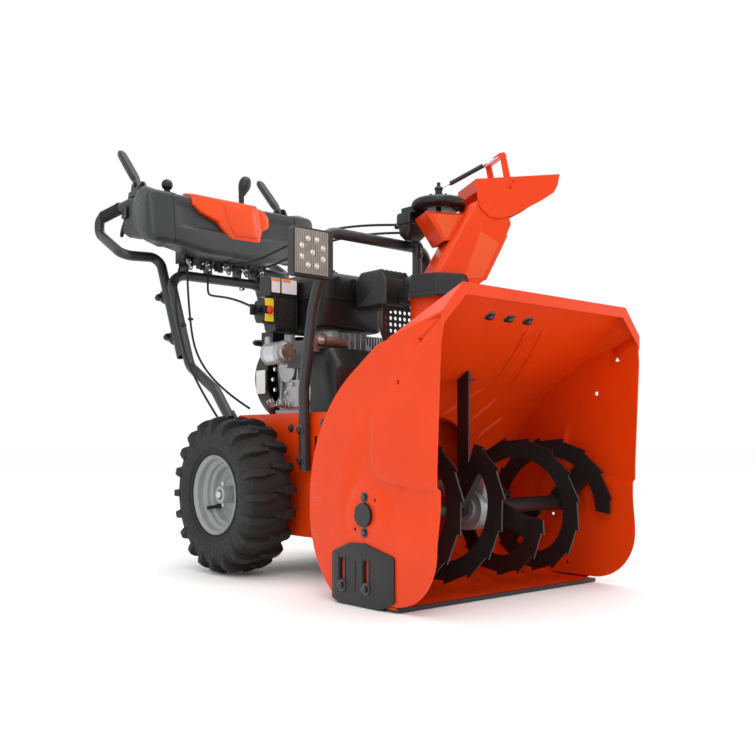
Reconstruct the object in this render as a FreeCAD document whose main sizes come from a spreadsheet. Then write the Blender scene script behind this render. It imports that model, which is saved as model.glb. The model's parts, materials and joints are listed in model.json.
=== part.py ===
# Two stage walk-behind snowblower with a 610 mm intake, in millimetres.
# +Z is up, -Y is the front of the machine and -X is the operator's right.
import FreeCAD
import Part
import math
import os

V = FreeCAD.Vector
DOC = FreeCAD.newDocument("snowblower")
SHEET = DOC.addObject("Spreadsheet::Sheet", "Dims")
D = {}
NODES = {}
AXES = {"X": V(1, 0, 0), "Y": V(0, 1, 0), "Z": V(0, 0, 1)}
SIDES = (("right", -1), ("left", 1))

# ---------------------------------------------------------------- dimensions

DIMENSIONS = (
    ("housing_half", 305.0, "half the width over the side plates"),
    ("plate_t", 3.0, "side plate thickness"),
    ("sheet_t", 3.0, "shell sheet thickness"),
    ("lip_y", -720.0, "front edge of the intake"),
    ("lip_z", 603.0, "top of the intake lip"),
    ("lip_half", 250.0, "half width of the straight part of the lip"),
    ("corner_z", 543.0, "height of the side plates' front corner"),
    ("lip_flange", 22.0, "height of the folded front flange"),
    ("auger_y", -514.0, "auger axis, along Y"),
    ("auger_z", 177.0, "auger axis, height"),
    ("auger_radius", 152.0, "outside radius of the auger flights"),
    ("auger_band", 46.0, "radial width of a flight ribbon"),
    ("auger_pitch", 116.0, "advance of a flight in one turn"),
    ("auger_teeth", 15.0, "saw teeth of a flight in one turn"),
    ("flight_t", 4.0, "flight plate thickness"),
    ("shaft_radius", 9.5, "auger and impeller shaft radius"),
    ("running_gap", 0.06, "radial clearance of a running fit"),
    ("hub_tube_radius", 17.0, "outside radius of the auger hub tubes"),
    ("impeller_z", 215.0, "impeller axis height"),
    ("impeller_radius", 149.0, "impeller blade tip radius"),
    ("drum_radius", 157.0, "inside radius of the impeller drum"),
    ("drum_rear", -200.0, "rear face of the impeller drum"),
    ("crank_z", 480.0, "engine crankshaft height"),
    ("belt_y", -150.0, "belt plane between drum and engine"),
    ("axle_y", 60.0, "wheel axle, along Y"),
    ("axle_z", 190.0, "wheel axle height, also the tyre radius"),
    ("tyre_radius", 190.0, "tyre radius over the lugs"),
    ("tyre_groove", 12.0, "depth of the tread grooves"),
    ("tyre_inner_x", 173.0, "inner side of the tyre"),
    ("tyre_outer_x", 300.0, "outer side of the tyre"),
    ("rim_radius", 89.0, "rim flange radius"),
    ("frame_half", 150.0, "half width of the chassis box"),
    ("frame_rear", 177.0, "rear of the chassis box"),
    ("frame_bottom", 94.0, "bottom of the chassis box"),
    ("frame_top", 385.0, "top of the chassis box"),
    ("gear_module", 2.5, "module of the final drive"),
    ("gear_teeth", 52.0, "teeth of the axle gear"),
    ("pinion_teeth", 17.0, "teeth of the friction shaft pinion"),
    ("chute_x", 82.0, "turning axis of the chute, across"),
    ("chute_y", -324.0, "turning axis of the chute, along"),
    ("chute_base", 656.0, "height of the chute's turning ring"),
    ("chute_half", 58.0, "half width of the chute channel"),
    ("chute_turn", 64.0, "chute direction from straight ahead, degrees"),
    ("tube_radius", 14.0, "handle tube outside radius"),
    ("tube_wall", 2.0, "handle tube wall"),
    ("light_tube_radius", 12.7, "light bar tube outside radius"),
    ("skid_t", 7.0, "skid shoe thickness"),
    ("cable_radius", 3.0, "control cable outside radius"),
    ("paddle_length", 172.0, "control paddle length"),
    ("console_half", 280.0, "half width of the control console"),
    ("centre_shift", -18.9, "puts the middle of the whole width at X 0, with the chute turned aside"),
)


def fill_sheet():
    """Write every driving dimension to the sheet with its alias."""
    for row, (name, value, note) in enumerate(DIMENSIONS, start=1):
        SHEET.set("A%d" % row, name)
        SHEET.set("B%d" % row, str(value))
        SHEET.set("C%d" % row, note)
        SHEET.setAlias("B%d" % row, name)
        D[name] = value
    DOC.recompute()


# ------------------------------------------------------------------- helpers

def put(obj, prop, value):
    """Set a plain number, or bind text as an expression on the sheet."""
    if isinstance(value, str):
        obj.setExpression(prop, value)
    else:
        setattr(obj, prop, value)


def turn_to(direction):
    """Rotation that takes +Z to a direction."""
    return FreeCAD.Rotation(V(0, 0, 1), direction)


def frame_rotation(x_dir, z_dir):
    """Rotation with its local X and Z along two directions."""
    return FreeCAD.Rotation(x_dir, z_dir.cross(x_dir), z_dir, "ZXY")


def box(name, low, high):
    """Box between two corners."""
    obj = DOC.addObject("Part::Box", name)
    obj.Length = high[0] - low[0]
    obj.Width = high[1] - low[1]
    obj.Height = high[2] - low[2]
    obj.Placement.Base = V(*low)
    return obj


def cylinder(name, radius, height, base, axis=V(0, 0, 1)):
    """Cylinder of a radius and a length from a base point."""
    obj = DOC.addObject("Part::Cylinder", name)
    put(obj, "Radius", radius)
    put(obj, "Height", height)
    obj.Placement = FreeCAD.Placement(V(*base), turn_to(axis))
    return obj


def cone(name, radius_low, radius_high, height, base, axis=V(0, 0, 1)):
    """Cone from a base point."""
    obj = DOC.addObject("Part::Cone", name)
    put(obj, "Radius1", radius_low)
    put(obj, "Radius2", radius_high)
    put(obj, "Height", height)
    obj.Placement = FreeCAD.Placement(V(*base), turn_to(axis))
    return obj


def sphere(name, radius, centre):
    """Ball about a centre."""
    obj = DOC.addObject("Part::Sphere", name)
    put(obj, "Radius", radius)
    obj.Placement.Base = V(*centre)
    return obj


def hexagon(name, across_flats, height, base, axis=V(0, 0, 1)):
    """Hexagonal prism from a base point."""
    obj = DOC.addObject("Part::Prism", name)
    obj.Polygon = 6
    obj.Circumradius = across_flats / math.sqrt(3)
    obj.Height = height
    obj.Placement = FreeCAD.Placement(V(*base), turn_to(axis))
    return obj


def cut(name, base, tool):
    """One solid less another."""
    obj = DOC.addObject("Part::Cut", name)
    obj.Base = base
    obj.Tool = tool
    return obj


def fuse(name, shapes):
    """Several solids made one."""
    obj = DOC.addObject("Part::MultiFuse", name)
    obj.Shapes = shapes
    return obj


def common(name, base, tool):
    """What two solids share."""
    obj = DOC.addObject("Part::Common", name)
    obj.Base = base
    obj.Tool = tool
    return obj


def group(name, shapes):
    """Separate solids kept together."""
    obj = DOC.addObject("Part::Compound", name)
    obj.Links = shapes
    return obj


def moved(name, source, placement):
    """The same solid in another place."""
    obj = DOC.addObject("Part::Compound", name)
    obj.Links = [source]
    obj.Placement = placement
    return obj


def mirrored(name, source):
    """The same solid on the other side of the machine."""
    obj = DOC.addObject("Part::Mirroring", name)
    obj.Source = source
    obj.Base = V(0, 0, 0)
    obj.Normal = V(1, 0, 0)
    return obj


def node(label, *pieces):
    """Keep one or more solids as one exported sub-part, centred on the whole width."""
    obj = group(label, list(pieces))
    obj.Placement = FreeCAD.Placement(V(D["centre_shift"], 0, 0), FreeCAD.Rotation())
    obj.Label = label
    NODES[label] = obj
    return obj


def unit(a, b):
    """Direction from one point to another."""
    step = b - a
    step.normalize()
    return step


def corner_arc(before, corner, after, radius):
    """Start, middle and end of the arc that rounds a corner."""
    back = unit(corner, before)
    on = unit(corner, after)
    half = (math.pi - back.getAngle(on)) / 2
    reach = radius * math.tan(half)
    inward = back + on
    inward.normalize()
    centre = corner + inward * (radius / math.cos(half))
    middle = centre - inward * radius
    return corner + back * reach, middle, corner + on * reach


def outline(corners):
    """Edges of a closed outline; a third number rounds its corner."""
    points = [V(c[0], c[1], 0) for c in corners]
    runs = []
    for i, c in enumerate(corners):
        if len(c) == 2:
            runs.append((points[i],))
        else:
            after = points[(i + 1) % len(points)]
            runs.append(corner_arc(points[i - 1], points[i], after, c[2]))
    edges = []
    for i, run in enumerate(runs):
        last = runs[i - 1][-1]
        if last.distanceToPoint(run[0]) > 1e-4:
            edges.append(Part.LineSegment(last, run[0]))
        if len(run) == 3:
            edges.append(Part.Arc(*run))
    return edges


def sketch_on(body, plane, offset, name):
    """Sketch on an origin plane of a body, moved along its normal."""
    sketch = body.newObject("Sketcher::SketchObject", name)
    for feature in body.Origin.OriginFeatures:
        if feature.Role == plane:
            sketch.AttachmentSupport = [(feature, "")]
    sketch.MapMode = "FlatFace"
    sketch.AttachmentOffset = FreeCAD.Placement(V(0, 0, offset), FreeCAD.Rotation())
    return sketch


def plate(name, plane, corners, start, thickness, holes=(), windows=()):
    """Flat profile in the YZ, XZ or XY plane, from a start to start plus thickness."""
    body = DOC.addObject("PartDesign::Body", name)
    length = thickness
    if isinstance(thickness, str):
        length = D[thickness.replace("Dims.", "")]
    offset = start
    if plane == "XZ":
        offset = -(start + length)
    sketch = sketch_on(body, plane + "_Plane", offset, name + "_sketch")
    sketch.addGeometry(outline(corners), False)
    for window in windows:
        sketch.addGeometry(outline(window), False)
    for a, b, radius in holes:
        sketch.addGeometry(Part.Circle(V(a, b, 0), V(0, 0, 1), radius), False)
    pad = body.newObject("PartDesign::Pad", name + "_pad")
    pad.Profile = sketch
    put(pad, "Length", thickness)
    body.Tip = pad
    return body


def turned(name, corners, base, axis):
    """Profile of (radius, height) corners turned about an axis through a base."""
    body = DOC.addObject("PartDesign::Body", name)
    sketch = sketch_on(body, "XZ_Plane", 0, name + "_sketch")
    sketch.addGeometry(outline(corners), False)
    turn = body.newObject("PartDesign::Revolution", name + "_turn")
    turn.Profile = sketch
    turn.ReferenceAxis = (sketch, ["V_Axis"])
    turn.Angle = 360
    body.Tip = turn
    body.Placement = FreeCAD.Placement(V(*base), turn_to(axis))
    return body


def route_wire(points, bend=None):
    """Straight runs joined by tangent arcs, of one radius or as large as fits."""
    edges = []
    last = points[0]
    for i in range(1, len(points) - 1):
        before = points[i - 1]
        after = points[i + 1]
        half = unit(before, points[i]).getAngle(unit(points[i], after)) / 2
        shorter = min(before.distanceToPoint(points[i]), after.distanceToPoint(points[i]))
        largest = 0.45 * shorter / math.tan(half)
        radius = largest if bend is None else min(bend, largest)
        start, middle, end = corner_arc(before, points[i], after, radius)
        edges.append(Part.LineSegment(last, start).toShape())
        edges.append(Part.Arc(start, middle, end).toShape())
        last = end
    edges.append(Part.LineSegment(last, points[-1]).toShape())
    return Part.Wire(edges)


def sweep(name, path, point, direction, radius):
    """Round section carried along a path."""
    section = DOC.addObject("Part::Circle", name + "_section")
    put(section, "Radius", radius)
    section.Placement = FreeCAD.Placement(point, turn_to(direction))
    obj = DOC.addObject("Part::Sweep", name)
    obj.Sections = [section]
    obj.Spine = (path, ["Edge%d" % (i + 1) for i in range(len(path.Shape.Edges))])
    obj.Solid = True
    obj.Frenet = False
    return obj


def rod(name, corners, radius, bend=None):
    """Round bar or cable along a route."""
    points = [V(*c) for c in corners]
    path = DOC.addObject("Part::Feature", name + "_path")
    path.Shape = route_wire(points, bend)
    return sweep(name, path, points[0], unit(points[0], points[1]), radius)


def tube(name, corners, radius, wall, bend):
    """Hollow tube along a route; radius and wall are names on the sheet."""
    points = [V(*c) for c in corners]
    path = DOC.addObject("Part::Feature", name + "_path")
    path.Shape = route_wire(points, bend)
    along = unit(points[0], points[1])
    outer = sweep(name + "_outer", path, points[0], along, "Dims." + radius)
    inner = sweep(name + "_inner", path, points[0], along, "Dims.%s - Dims.%s" % (radius, wall))
    return cut(name, outer, inner)


def bolt(name, at, axis, across=13.0, head=6.0, washer=1.5, shank=0.0):
    """Hexagon head on a washer, standing on a face at a point; the shank goes below it."""
    axis.normalize()
    base = V(*at)
    pieces = [
        cylinder(name + "_washer", across * 0.85, washer, base, axis),
        hexagon(name + "_head", across, head, base + axis * washer, axis),
    ]
    if shank:
        pieces.append(cylinder(name + "_shank", across * 0.3, shank + washer, base - axis * shank, axis))
    return fuse(name, pieces)


# ------------------------------------------------------------ auger housing

# The shell's side outline: lip, sloping roof, back arc, round bottom, bottom lip.
ROOF_ARC_Y = -653.0
ROOF_ARC_Z = 185.0
ROOF_ARC_RADIUS = 313.0
ROOF_ARC_END = math.radians(60)
SHELL_DEPTH = 171.0


def roof_height(y):
    """Height of the sloping roof at a place along Y."""
    tangent_y = ROOF_ARC_Y + ROOF_ARC_RADIUS * math.cos(ROOF_ARC_END)
    tangent_z = ROOF_ARC_Z + ROOF_ARC_RADIUS * math.sin(ROOF_ARC_END)
    slope = (D["lip_z"] - tangent_z) / (tangent_y - D["lip_y"])
    return tangent_z + (tangent_y - y) * slope


def shell_corners(inset, front):
    """Closed side outline of the shell, moved inward by an inset."""
    rear = ROOF_ARC_Y + ROOF_ARC_RADIUS - inset
    bottom = D["auger_z"] - SHELL_DEPTH + inset
    slope = (roof_height(front) - roof_height(front + 100)) / 100
    roof_front = roof_height(front) - inset * math.sqrt(1 + slope * slope)
    knee = roof_front - (rear - front) * slope
    return (
        (front, bottom),
        (front, roof_front),
        (rear, knee, ROOF_ARC_RADIUS - 12 - inset),
        (rear, bottom, SHELL_DEPTH - 3 - inset),
    )


def chamfer_cutter(name, sign, inset):
    """Block whose face lies on the sloping corner facet of the shell."""
    high = V(sign * D["lip_half"], D["lip_y"], D["lip_z"])
    low = V(sign * D["housing_half"], D["lip_y"], D["corner_z"])
    back = V(sign * D["housing_half"], -549, 499)
    normal = (low - high).cross(back - high)
    normal.normalize()
    if normal.z < 0:
        normal = normal * -1
    along = unit(low, high)
    turn = frame_rotation(along, normal)
    block = DOC.addObject("Part::Box", name)
    block.Length = 500
    block.Width = 900
    block.Height = 150
    start = low - along * 200 - turn.multVec(V(0, 1, 0)) * 450 - normal * inset
    block.Placement = FreeCAD.Placement(start, turn)
    return block


def shell_solid(name, inset, half, front):
    """The filled shell: side outline padded across, less its two corner facets."""
    body = plate(name + "_pad", "YZ", shell_corners(inset, front), -half, 2 * half)
    cutters = [chamfer_cutter(name + "_facet_" + side, sign, inset) for side, sign in SIDES]
    return cut(name, body, group(name + "_facets", cutters))


BEARING_BOLTS = ((0, 34), (0, -34))
SPARE_HOLES = ((-29, 29), (29, -29))


def auger_housing():
    """Folded sheet shell, its lip flange, side plates, drum and scraper bar."""
    half = D["housing_half"] - D["plate_t"]
    outer = shell_solid("shell_outer", 0, half, D["lip_y"])
    inner = shell_solid("shell_inner", D["sheet_t"], half + 10, D["lip_y"] - 40)
    sheet = cut("shell_sheet", outer, inner)
    front_opening = box("shell_open_bottom", (-half - 5, D["lip_y"] - 5, -20), (half + 5, -600, 60))
    drum_hole = cylinder("shell_drum_hole", "Dims.drum_radius", 140,
                         (0, -440, D["impeller_z"]), AXES["Y"])
    trimmed = cut("shell_trimmed", sheet, group("shell_holes", [front_opening, drum_hole]))
    flange_block = plate("lip_flange_block", "XZ", (
        (-half, 500), (-half, D["corner_z"] + 3), (-D["lip_half"] + 1, D["lip_z"] - 1),
        (D["lip_half"] - 1, D["lip_z"] - 1), (half, D["corner_z"] + 3), (half, 500)),
        D["lip_y"], "Dims.sheet_t")
    flange_void = plate("lip_flange_void", "XZ", (
        (-half - 9, 480), (-half - 9, 500), (-half + 3, D["corner_z"] - 20),
        (-D["lip_half"] + 9, D["lip_z"] - D["lip_flange"]),
        (D["lip_half"] - 9, D["lip_z"] - D["lip_flange"]),
        (half - 3, D["corner_z"] - 20), (half + 9, 500), (half + 9, 480)),
        D["lip_y"] - 5, 15)
    flange = cut("lip_flange", flange_block, flange_void)
    node("auger_housing_shell", fuse("housing_shell", [trimmed, flange]))

    for side, sign in SIDES:
        low = D["housing_half"] - D["plate_t"] if sign > 0 else -D["housing_half"]
        windows = []
        for y, z in ((-665, 499), (-608, 426)):
            windows.append(((y - 4, z - 4), (y + 4, z - 4), (y + 4, z + 4), (y - 4, z + 4)))
        holes = [(D["auger_y"], D["auger_z"], 19)]
        for along, up in BEARING_BOLTS + SPARE_HOLES:
            holes.append((D["auger_y"] + along, D["auger_z"] + up, 3.5))
        for y in (-454, -526):
            holes.append((y, 37, 4.2))
        body = plate("side_plate_" + side, "YZ", (
            (D["lip_y"], D["corner_z"]), (-708, 266), (-708, 12, 108), (-422, 12),
            (-340, 75.5, 205), (-340, 362, 300), (-549, 499)),
            low, "Dims.plate_t", holes, windows)
        node("housing_side_" + side, body)

    tube_outer = cylinder("drum_outer", "Dims.drum_radius + Dims.sheet_t", 260,
                          (0, D["drum_rear"] - 260, D["impeller_z"]), AXES["Y"])
    tube_inner = cylinder("drum_inner", "Dims.drum_radius", 300,
                          (0, D["drum_rear"] - 303, D["impeller_z"]), AXES["Y"])
    drum_shell = cut("drum_tube", tube_outer, tube_inner)
    shaft_hole = cylinder("drum_shaft_hole", "Dims.shaft_radius + Dims.running_gap", 40,
                          (0, D["drum_rear"] - 20, D["impeller_z"]), AXES["Y"])
    bearing = cylinder("drum_bearing", 28, 12, (0, D["drum_rear"] - 1, D["impeller_z"]), AXES["Y"])
    outlet_outer = cylinder("outlet_outer", 66, D["chute_base"] - 260,
                            (D["chute_x"], D["chute_y"], 260), AXES["Z"])
    outlet_rim = cylinder("outlet_rim", 74, 5,
                          (D["chute_x"], D["chute_y"], D["chute_base"] - 5), AXES["Z"])
    outlet_inner = cylinder("outlet_inner", 63, 500,
                            (D["chute_x"], D["chute_y"], 250), AXES["Z"])
    drum_core = cylinder("drum_core", "Dims.drum_radius", 400,
                         (0, D["drum_rear"] - 403, D["impeller_z"]), AXES["Y"])
    body = fuse("drum_body", [drum_shell, bearing,
                              cut("outlet_wall", fuse("outlet_solid", [outlet_outer, outlet_rim]),
                                  drum_core)])
    keep_out = shell_solid("drum_trim", 0, half, D["lip_y"])
    tools = group("drum_cuts", [shaft_hole, outlet_inner, keep_out])
    node("impeller_drum", cut("drum", body, tools))

    bar = plate("scraper", "YZ", (
        (-606, 1.5), (-562, 1.5), (-562, 5.7), (-600.3, 5.7), (-600.3, 9), (-606, 9)),
        -half + 1, 2 * half - 2)
    node("scraper_bar", bar)


def gearbox_parts():
    """Worm gear case in the middle of the auger, and the bar that holds it."""
    y = D["auger_y"]
    z = D["auger_z"]
    top = D["impeller_z"]
    outer = fuse("case_outer", [
        cylinder("case_drum", 46, 56, (-28, y, z), AXES["X"]),
        cylinder("case_boss_r", 27, 64, (-32, y, z), AXES["X"]),
        cylinder("case_worm", 25, 120, (0, y - 48, top), AXES["Y"]),
        cylinder("case_neck", 18, 50, (0, y + 60, top), AXES["Y"]),
        cone("case_nose", 25, 16, 14, (0, y - 48, top), V(0, -1, 0)),
    ])
    inner = group("case_inner", [
        cylinder("case_wheel_room", 40, 44, (-22, y, z), AXES["X"]),
        cylinder("case_worm_room", 17, 108, (0, y - 44, top), AXES["Y"]),
        cylinder("case_auger_bore", "Dims.shaft_radius + Dims.running_gap", 80, (-40, y, z), AXES["X"]),
        cylinder("case_drive_bore", "Dims.shaft_radius + Dims.running_gap", 80,
                 (0, y + 50, top), AXES["Y"]),
    ])
    node("gearbox_case", cut("case", outer, inner))

    foot_z = top + 25.2
    bar = plate("brace_bar", "YZ", (
        (-522, foot_z), (-490, foot_z), (-490, 455), (-522, 466)), -27, 5)
    foot = box("brace_foot", (-27, -520, foot_z), (13, -480, foot_z + 5))
    tab = box("brace_tab", (-27, -518, 447), (2, -494, 451))
    node("gearbox_brace", fuse("brace", [bar, foot, tab]))


def auger_parts():
    """Auger shaft, worm wheel and the two serrated ribbon flights with their hubs."""
    y = D["auger_y"]
    z = D["auger_z"]
    shaft = cylinder("auger_rod", "Dims.shaft_radius", 622, (-311, y, z), AXES["X"])
    node("auger_shaft", shaft)
    wheel = cylinder("worm_disc", 25.3, 14, (-7, y, z), AXES["X"])
    hub = cylinder("worm_hub", 15, 30, (-15, y, z), AXES["X"])
    bore = cylinder("worm_bore", "Dims.shaft_radius", 60, (-30, y, z), AXES["X"])
    tooth_gaps = []
    for i in range(20):
        angle = math.radians(18 * i)
        gap_base = V(-10, y + 25.6 * math.cos(angle), z + 25.6 * math.sin(angle))
        tooth_gaps.append(cylinder("worm_gap_%d" % i, 2.0, 20, gap_base, AXES["X"]))
    blank = fuse("worm_blank", [wheel, hub])
    node("worm_wheel", cut("worm_wheel_cut", blank, group("worm_cuts", [bore] + tooth_gaps)))

    flight = auger_flight("flight")
    node("auger_flight_left", flight)
    turned_back = FreeCAD.Placement(V(0, 0, 0), FreeCAD.Rotation(AXES["X"], FLIGHT_LAG), V(0, y, z))
    node("auger_flight_right", moved("flight_right", mirrored("flight_mirrored", flight), turned_back))


FLIGHT_LAG = -78.0
FLIGHT_START = 50.0
FLIGHT_TURNS = 2
FLIGHT_PHASE = -82.0
TOOTH_DEPTH = 8.0


def flight_helix(name):
    """Flat ribbon wound round local Z for a whole number of turns."""
    inner = D["auger_radius"] - D["auger_band"]
    middle = D["auger_radius"] - D["auger_band"] / 2
    helix = Part.makeHelix(D["auger_pitch"], FLIGHT_TURNS * D["auger_pitch"], middle)
    section = Part.makePolygon([V(r, 0, h) for r, h in (
        (inner, 0), (D["auger_radius"], 0), (D["auger_radius"], D["flight_t"]),
        (inner, D["flight_t"]), (inner, 0))])
    ribbon = DOC.addObject("Part::Feature", name)
    ribbon.Shape = Part.Wire(helix.Edges).makePipeShell([section], True, True)
    return ribbon


def saw_teeth(name, whole):
    """Blocks that shave the ribbon's edge into saw teeth, each falling back from the last one's tip."""
    step = 360.0 / D["auger_teeth"]
    chord = 2 * D["auger_radius"] * math.sin(math.radians(step / 2))
    sagitta = D["auger_radius"] * (1 - math.cos(math.radians(step / 2)))
    lean = math.degrees(math.atan2(TOOTH_DEPTH, chord))
    blocks = []
    for i in range(int(FLIGHT_TURNS * D["auger_teeth"]) + 1):
        block = DOC.addObject("Part::Box", "%s_%d" % (name, i))
        block.Length = 30
        block.Width = chord + 1
        block.Height = 44
        climb = i * D["auger_pitch"] / D["auger_teeth"]
        root = V(D["auger_radius"] - sagitta - TOOTH_DEPTH, -chord / 2, climb - 20)
        local = FreeCAD.Placement(root, FreeCAD.Rotation(V(0, 0, 1), -lean))
        around = FreeCAD.Placement(V(0, 0, 0), FreeCAD.Rotation(V(0, 0, 1), step * i))
        block.Placement = whole.multiply(around).multiply(local)
        blocks.append(block)
    return group(name, blocks)


def auger_flight(name):
    """The flight on the +X side: hub tube, saw-toothed ribbon, folded straps and shear bolt."""
    y = D["auger_y"]
    z = D["auger_z"]
    inner = D["auger_radius"] - D["auger_band"]
    phase = FreeCAD.Placement(V(0, 0, 0), FreeCAD.Rotation(V(0, 0, 1), FLIGHT_PHASE))
    whole = FreeCAD.Placement(V(FLIGHT_START, y, z), turn_to(AXES["X"])).multiply(phase)
    ribbon = flight_helix(name + "_ribbon")
    ribbon.Placement = whole
    pieces = [cut(name + "_serrated", ribbon, saw_teeth(name + "_tooth", whole))]
    pieces.append(cylinder(name + "_hub", "Dims.hub_tube_radius", 250, (36, y, z), AXES["X"]))
    for i, turns in enumerate((0.04, 0.54, 1.36, 1.86)):
        spoke = FreeCAD.Rotation(V(0, 0, 1), 360 * turns)
        local = FreeCAD.Placement(V(0, 0, turns * D["auger_pitch"]), spoke)
        strap = box("%s_strap_%d" % (name, i), (8, -22, 0), (inner + 14, 22, 5))
        fold = box("%s_fold_%d" % (name, i), (18, 18, 0), (inner + 2, 22, 18))
        for piece in (strap, fold):
            piece.Placement = whole.multiply(local).multiply(piece.Placement)
            pieces.append(piece)
    pin_at = V(96, y, z)
    pieces.append(cylinder(name + "_shear_pin", 3.4, 50, pin_at - V(0, 0, 25), AXES["Z"]))
    pieces.append(hexagon(name + "_shear_head", 11, 5, pin_at + V(0, 0, 22), AXES["Z"]))
    bore = cylinder(name + "_bore", "Dims.shaft_radius", 300, (20, y, z), AXES["X"])
    return cut(name, fuse(name + "_fused", pieces), bore)


def auger_bearing_parts():
    """Flanged bearings with round covers on both side plates."""
    covers = []
    for side, sign in SIDES:
        x = D["housing_half"] * sign
        out = V(sign, 0, 0)
        seat = V(x, D["auger_y"], D["auger_z"])
        cover = cylinder("bearing_cover_" + side, 23, 7, seat, out)
        hub = cylinder("bearing_hub_" + side, 18.5, 14, seat - out * 13, out)
        bore = cylinder("bearing_bore_" + side, "Dims.shaft_radius + Dims.running_gap", 20,
                        seat - out * 13.5, out)
        covers.append(cut("bearing_" + side, fuse("bearing_body_" + side, [cover, hub]), bore))
    node("auger_bearings", group("bearings", covers))


def impeller_parts():
    """Impeller shaft with worm and pulley, and the bladed impeller."""
    z = D["impeller_z"]
    shaft = cylinder("drive_rod", "Dims.shaft_radius", 414, (0, -552, z), AXES["Y"])
    worm = cylinder("worm", 12.2, 44, (0, D["auger_y"] - 22, z), AXES["Y"])
    pulley = turned("impeller_pulley", (
        (9, 0), (76, 0), (67, 4), (67, 15), (76, 19), (76, 22), (9, 22)),
        (0, D["belt_y"] - 11, z), AXES["Y"])
    node("impeller_shaft", fuse("impeller_drive", [shaft, worm, pulley]))

    blades = []
    for i in range(4):
        turn = FreeCAD.Rotation(V(0, 1, 0), 90 * i + 20)
        blade = box("blade_%d" % i, (0, 0, 0), (4, 100, D["impeller_radius"] - 3))
        blade.Placement = FreeCAD.Placement(V(0, -318, z), turn)
        tip_start = D["impeller_radius"] - 22
        tip = box("blade_tip_%d" % i, (0, 0, tip_start), (18, 100, tip_start + 4))
        tip.Placement = FreeCAD.Placement(V(0, -318, z), turn)
        blades.extend([blade, tip])
    hub = cylinder("impeller_hub", 20, 100, (0, -318, z), AXES["Y"])
    web = cylinder("impeller_web", 90, 4, (0, -222, z), AXES["Y"])
    body = fuse("impeller_body", blades + [hub, web])
    bore = cylinder("impeller_bore", "Dims.shaft_radius", 140, (0, -340, z), AXES["Y"])
    node("impeller", cut("impeller_cut", body, bore))


def skid_shoes():
    """Adjustable skid shoes on the outside of the side plates."""
    for side, sign in SIDES:
        slots = []
        for y in (-454, -526):
            slots.append((
                (y - 4.6, 32.5, 4.5), (y + 4.6, 32.5, 4.5), (y + 4.6, 76, 4.5), (y - 4.6, 76, 4.5)))
        start = D["housing_half"] + 0.5 if sign > 0 else -D["housing_half"] - 0.5 - D["skid_t"]
        body = plate("skid_" + side, "YZ", (
            (-418, 100, 8), (-471, 121, 12), (-515, 123, 12), (-601, 103, 8), (-602, 19, 6),
            (-560, 0, 20), (-440, 0, 12), (-418, 9, 4)), start, "Dims.skid_t", (), slots)
        node("skid_shoe_" + side, body)


# ------------------------------------------------------- chassis and wheels

FRICTION_RADIUS = 64.0
DISC_DEPTH = 88.0


def chassis_parts():
    """Chassis box that carries the engine and axle, and its bottom cover."""
    half = D["frame_half"]
    front = D["drum_rear"] + 0.5
    outer = plate("frame_outer", "YZ", (
        (front, D["frame_bottom"], 10), (front, D["frame_top"], 6),
        (D["frame_rear"], D["frame_top"], 14), (D["frame_rear"], D["frame_bottom"], 14)),
        -half, 2 * half)
    inner = box("frame_inner", (-half + 3, front + 3, D["frame_bottom"] - 5),
                (half - 3, D["frame_rear"] - 3, D["frame_top"] - 3))
    shaft_y, shaft_z = friction_shaft_place()
    tools = [
        inner,
        cylinder("frame_axle_hole", "Dims.shaft_radius + Dims.running_gap", 400,
                 (-200, D["axle_y"], D["axle_z"]), AXES["X"]),
        cylinder("frame_shaft_hole", 6 + D["running_gap"], 400, (-200, shaft_y, shaft_z), AXES["X"]),
        cylinder("frame_drive_hole", 30, 30, (0, front - 10, D["impeller_z"]), AXES["Y"]),
        box("frame_belt_slot", (-88, front + 33, D["frame_top"] - 10), (88, -98, D["frame_top"] + 5)),
    ]
    for side, sign in SIDES:
        slot = box("frame_side_slot_" + side, (sign * half - 6, -160, 230), (sign * half + 6, -150, 330))
        tools.append(slot)
    chassis = cut("frame", outer, group("frame_cuts", tools))
    node("frame_box", fuse("frame_with_bracket", [chassis, drive_disc_bracket()]))
    cover = plate("bottom_cover", "XY", (
        (-half + 4, front + 5, 8), (half - 4, front + 5, 8),
        (half - 4, D["frame_rear"] - 5, 8), (-half + 4, D["frame_rear"] - 5, 8)),
        D["frame_bottom"] + 1, 2, [(-90, -120, 6), (90, -120, 6), (0, 120, 14)])
    node("frame_bottom_cover", cover)


def friction_shaft_place():
    """Where the friction shaft lies, in mesh with the axle gear."""
    distance = D["gear_module"] * (D["gear_teeth"] + D["pinion_teeth"]) / 2
    angle = math.radians(110)
    return D["axle_y"] + distance * math.cos(angle), D["axle_z"] + distance * math.sin(angle)


def gear_wire(teeth, module, first_angle):
    """Closed involute gear outline about the origin, its first tooth at an angle."""
    pitch_radius = module * teeth / 2
    base_radius = pitch_radius * math.cos(math.radians(20))
    root_radius = pitch_radius - 1.35 * module
    tip_radius = pitch_radius + 0.9 * module
    pitch_roll = math.tan(math.radians(20)) - math.radians(20)
    half_tooth = math.pi / (2 * teeth) - 0.18 / pitch_radius
    points = []
    for i in range(teeth):
        centre = first_angle + 2 * math.pi * i / teeth
        flank = [(root_radius, half_tooth + pitch_roll)]
        for step in range(4):
            start = max(base_radius, root_radius) + 0.01
            radius = start + (tip_radius - start) * step / 3
            pressure = math.acos(base_radius / radius)
            flank.append((radius, half_tooth + pitch_roll - (math.tan(pressure) - pressure)))
        for radius, angle in flank:
            points.append((radius, centre - angle))
        for radius, angle in reversed(flank):
            points.append((radius, centre + angle))
    corners = [V(r * math.cos(a), r * math.sin(a), 0) for r, a in points]
    return Part.makePolygon(corners + [corners[0]])


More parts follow.
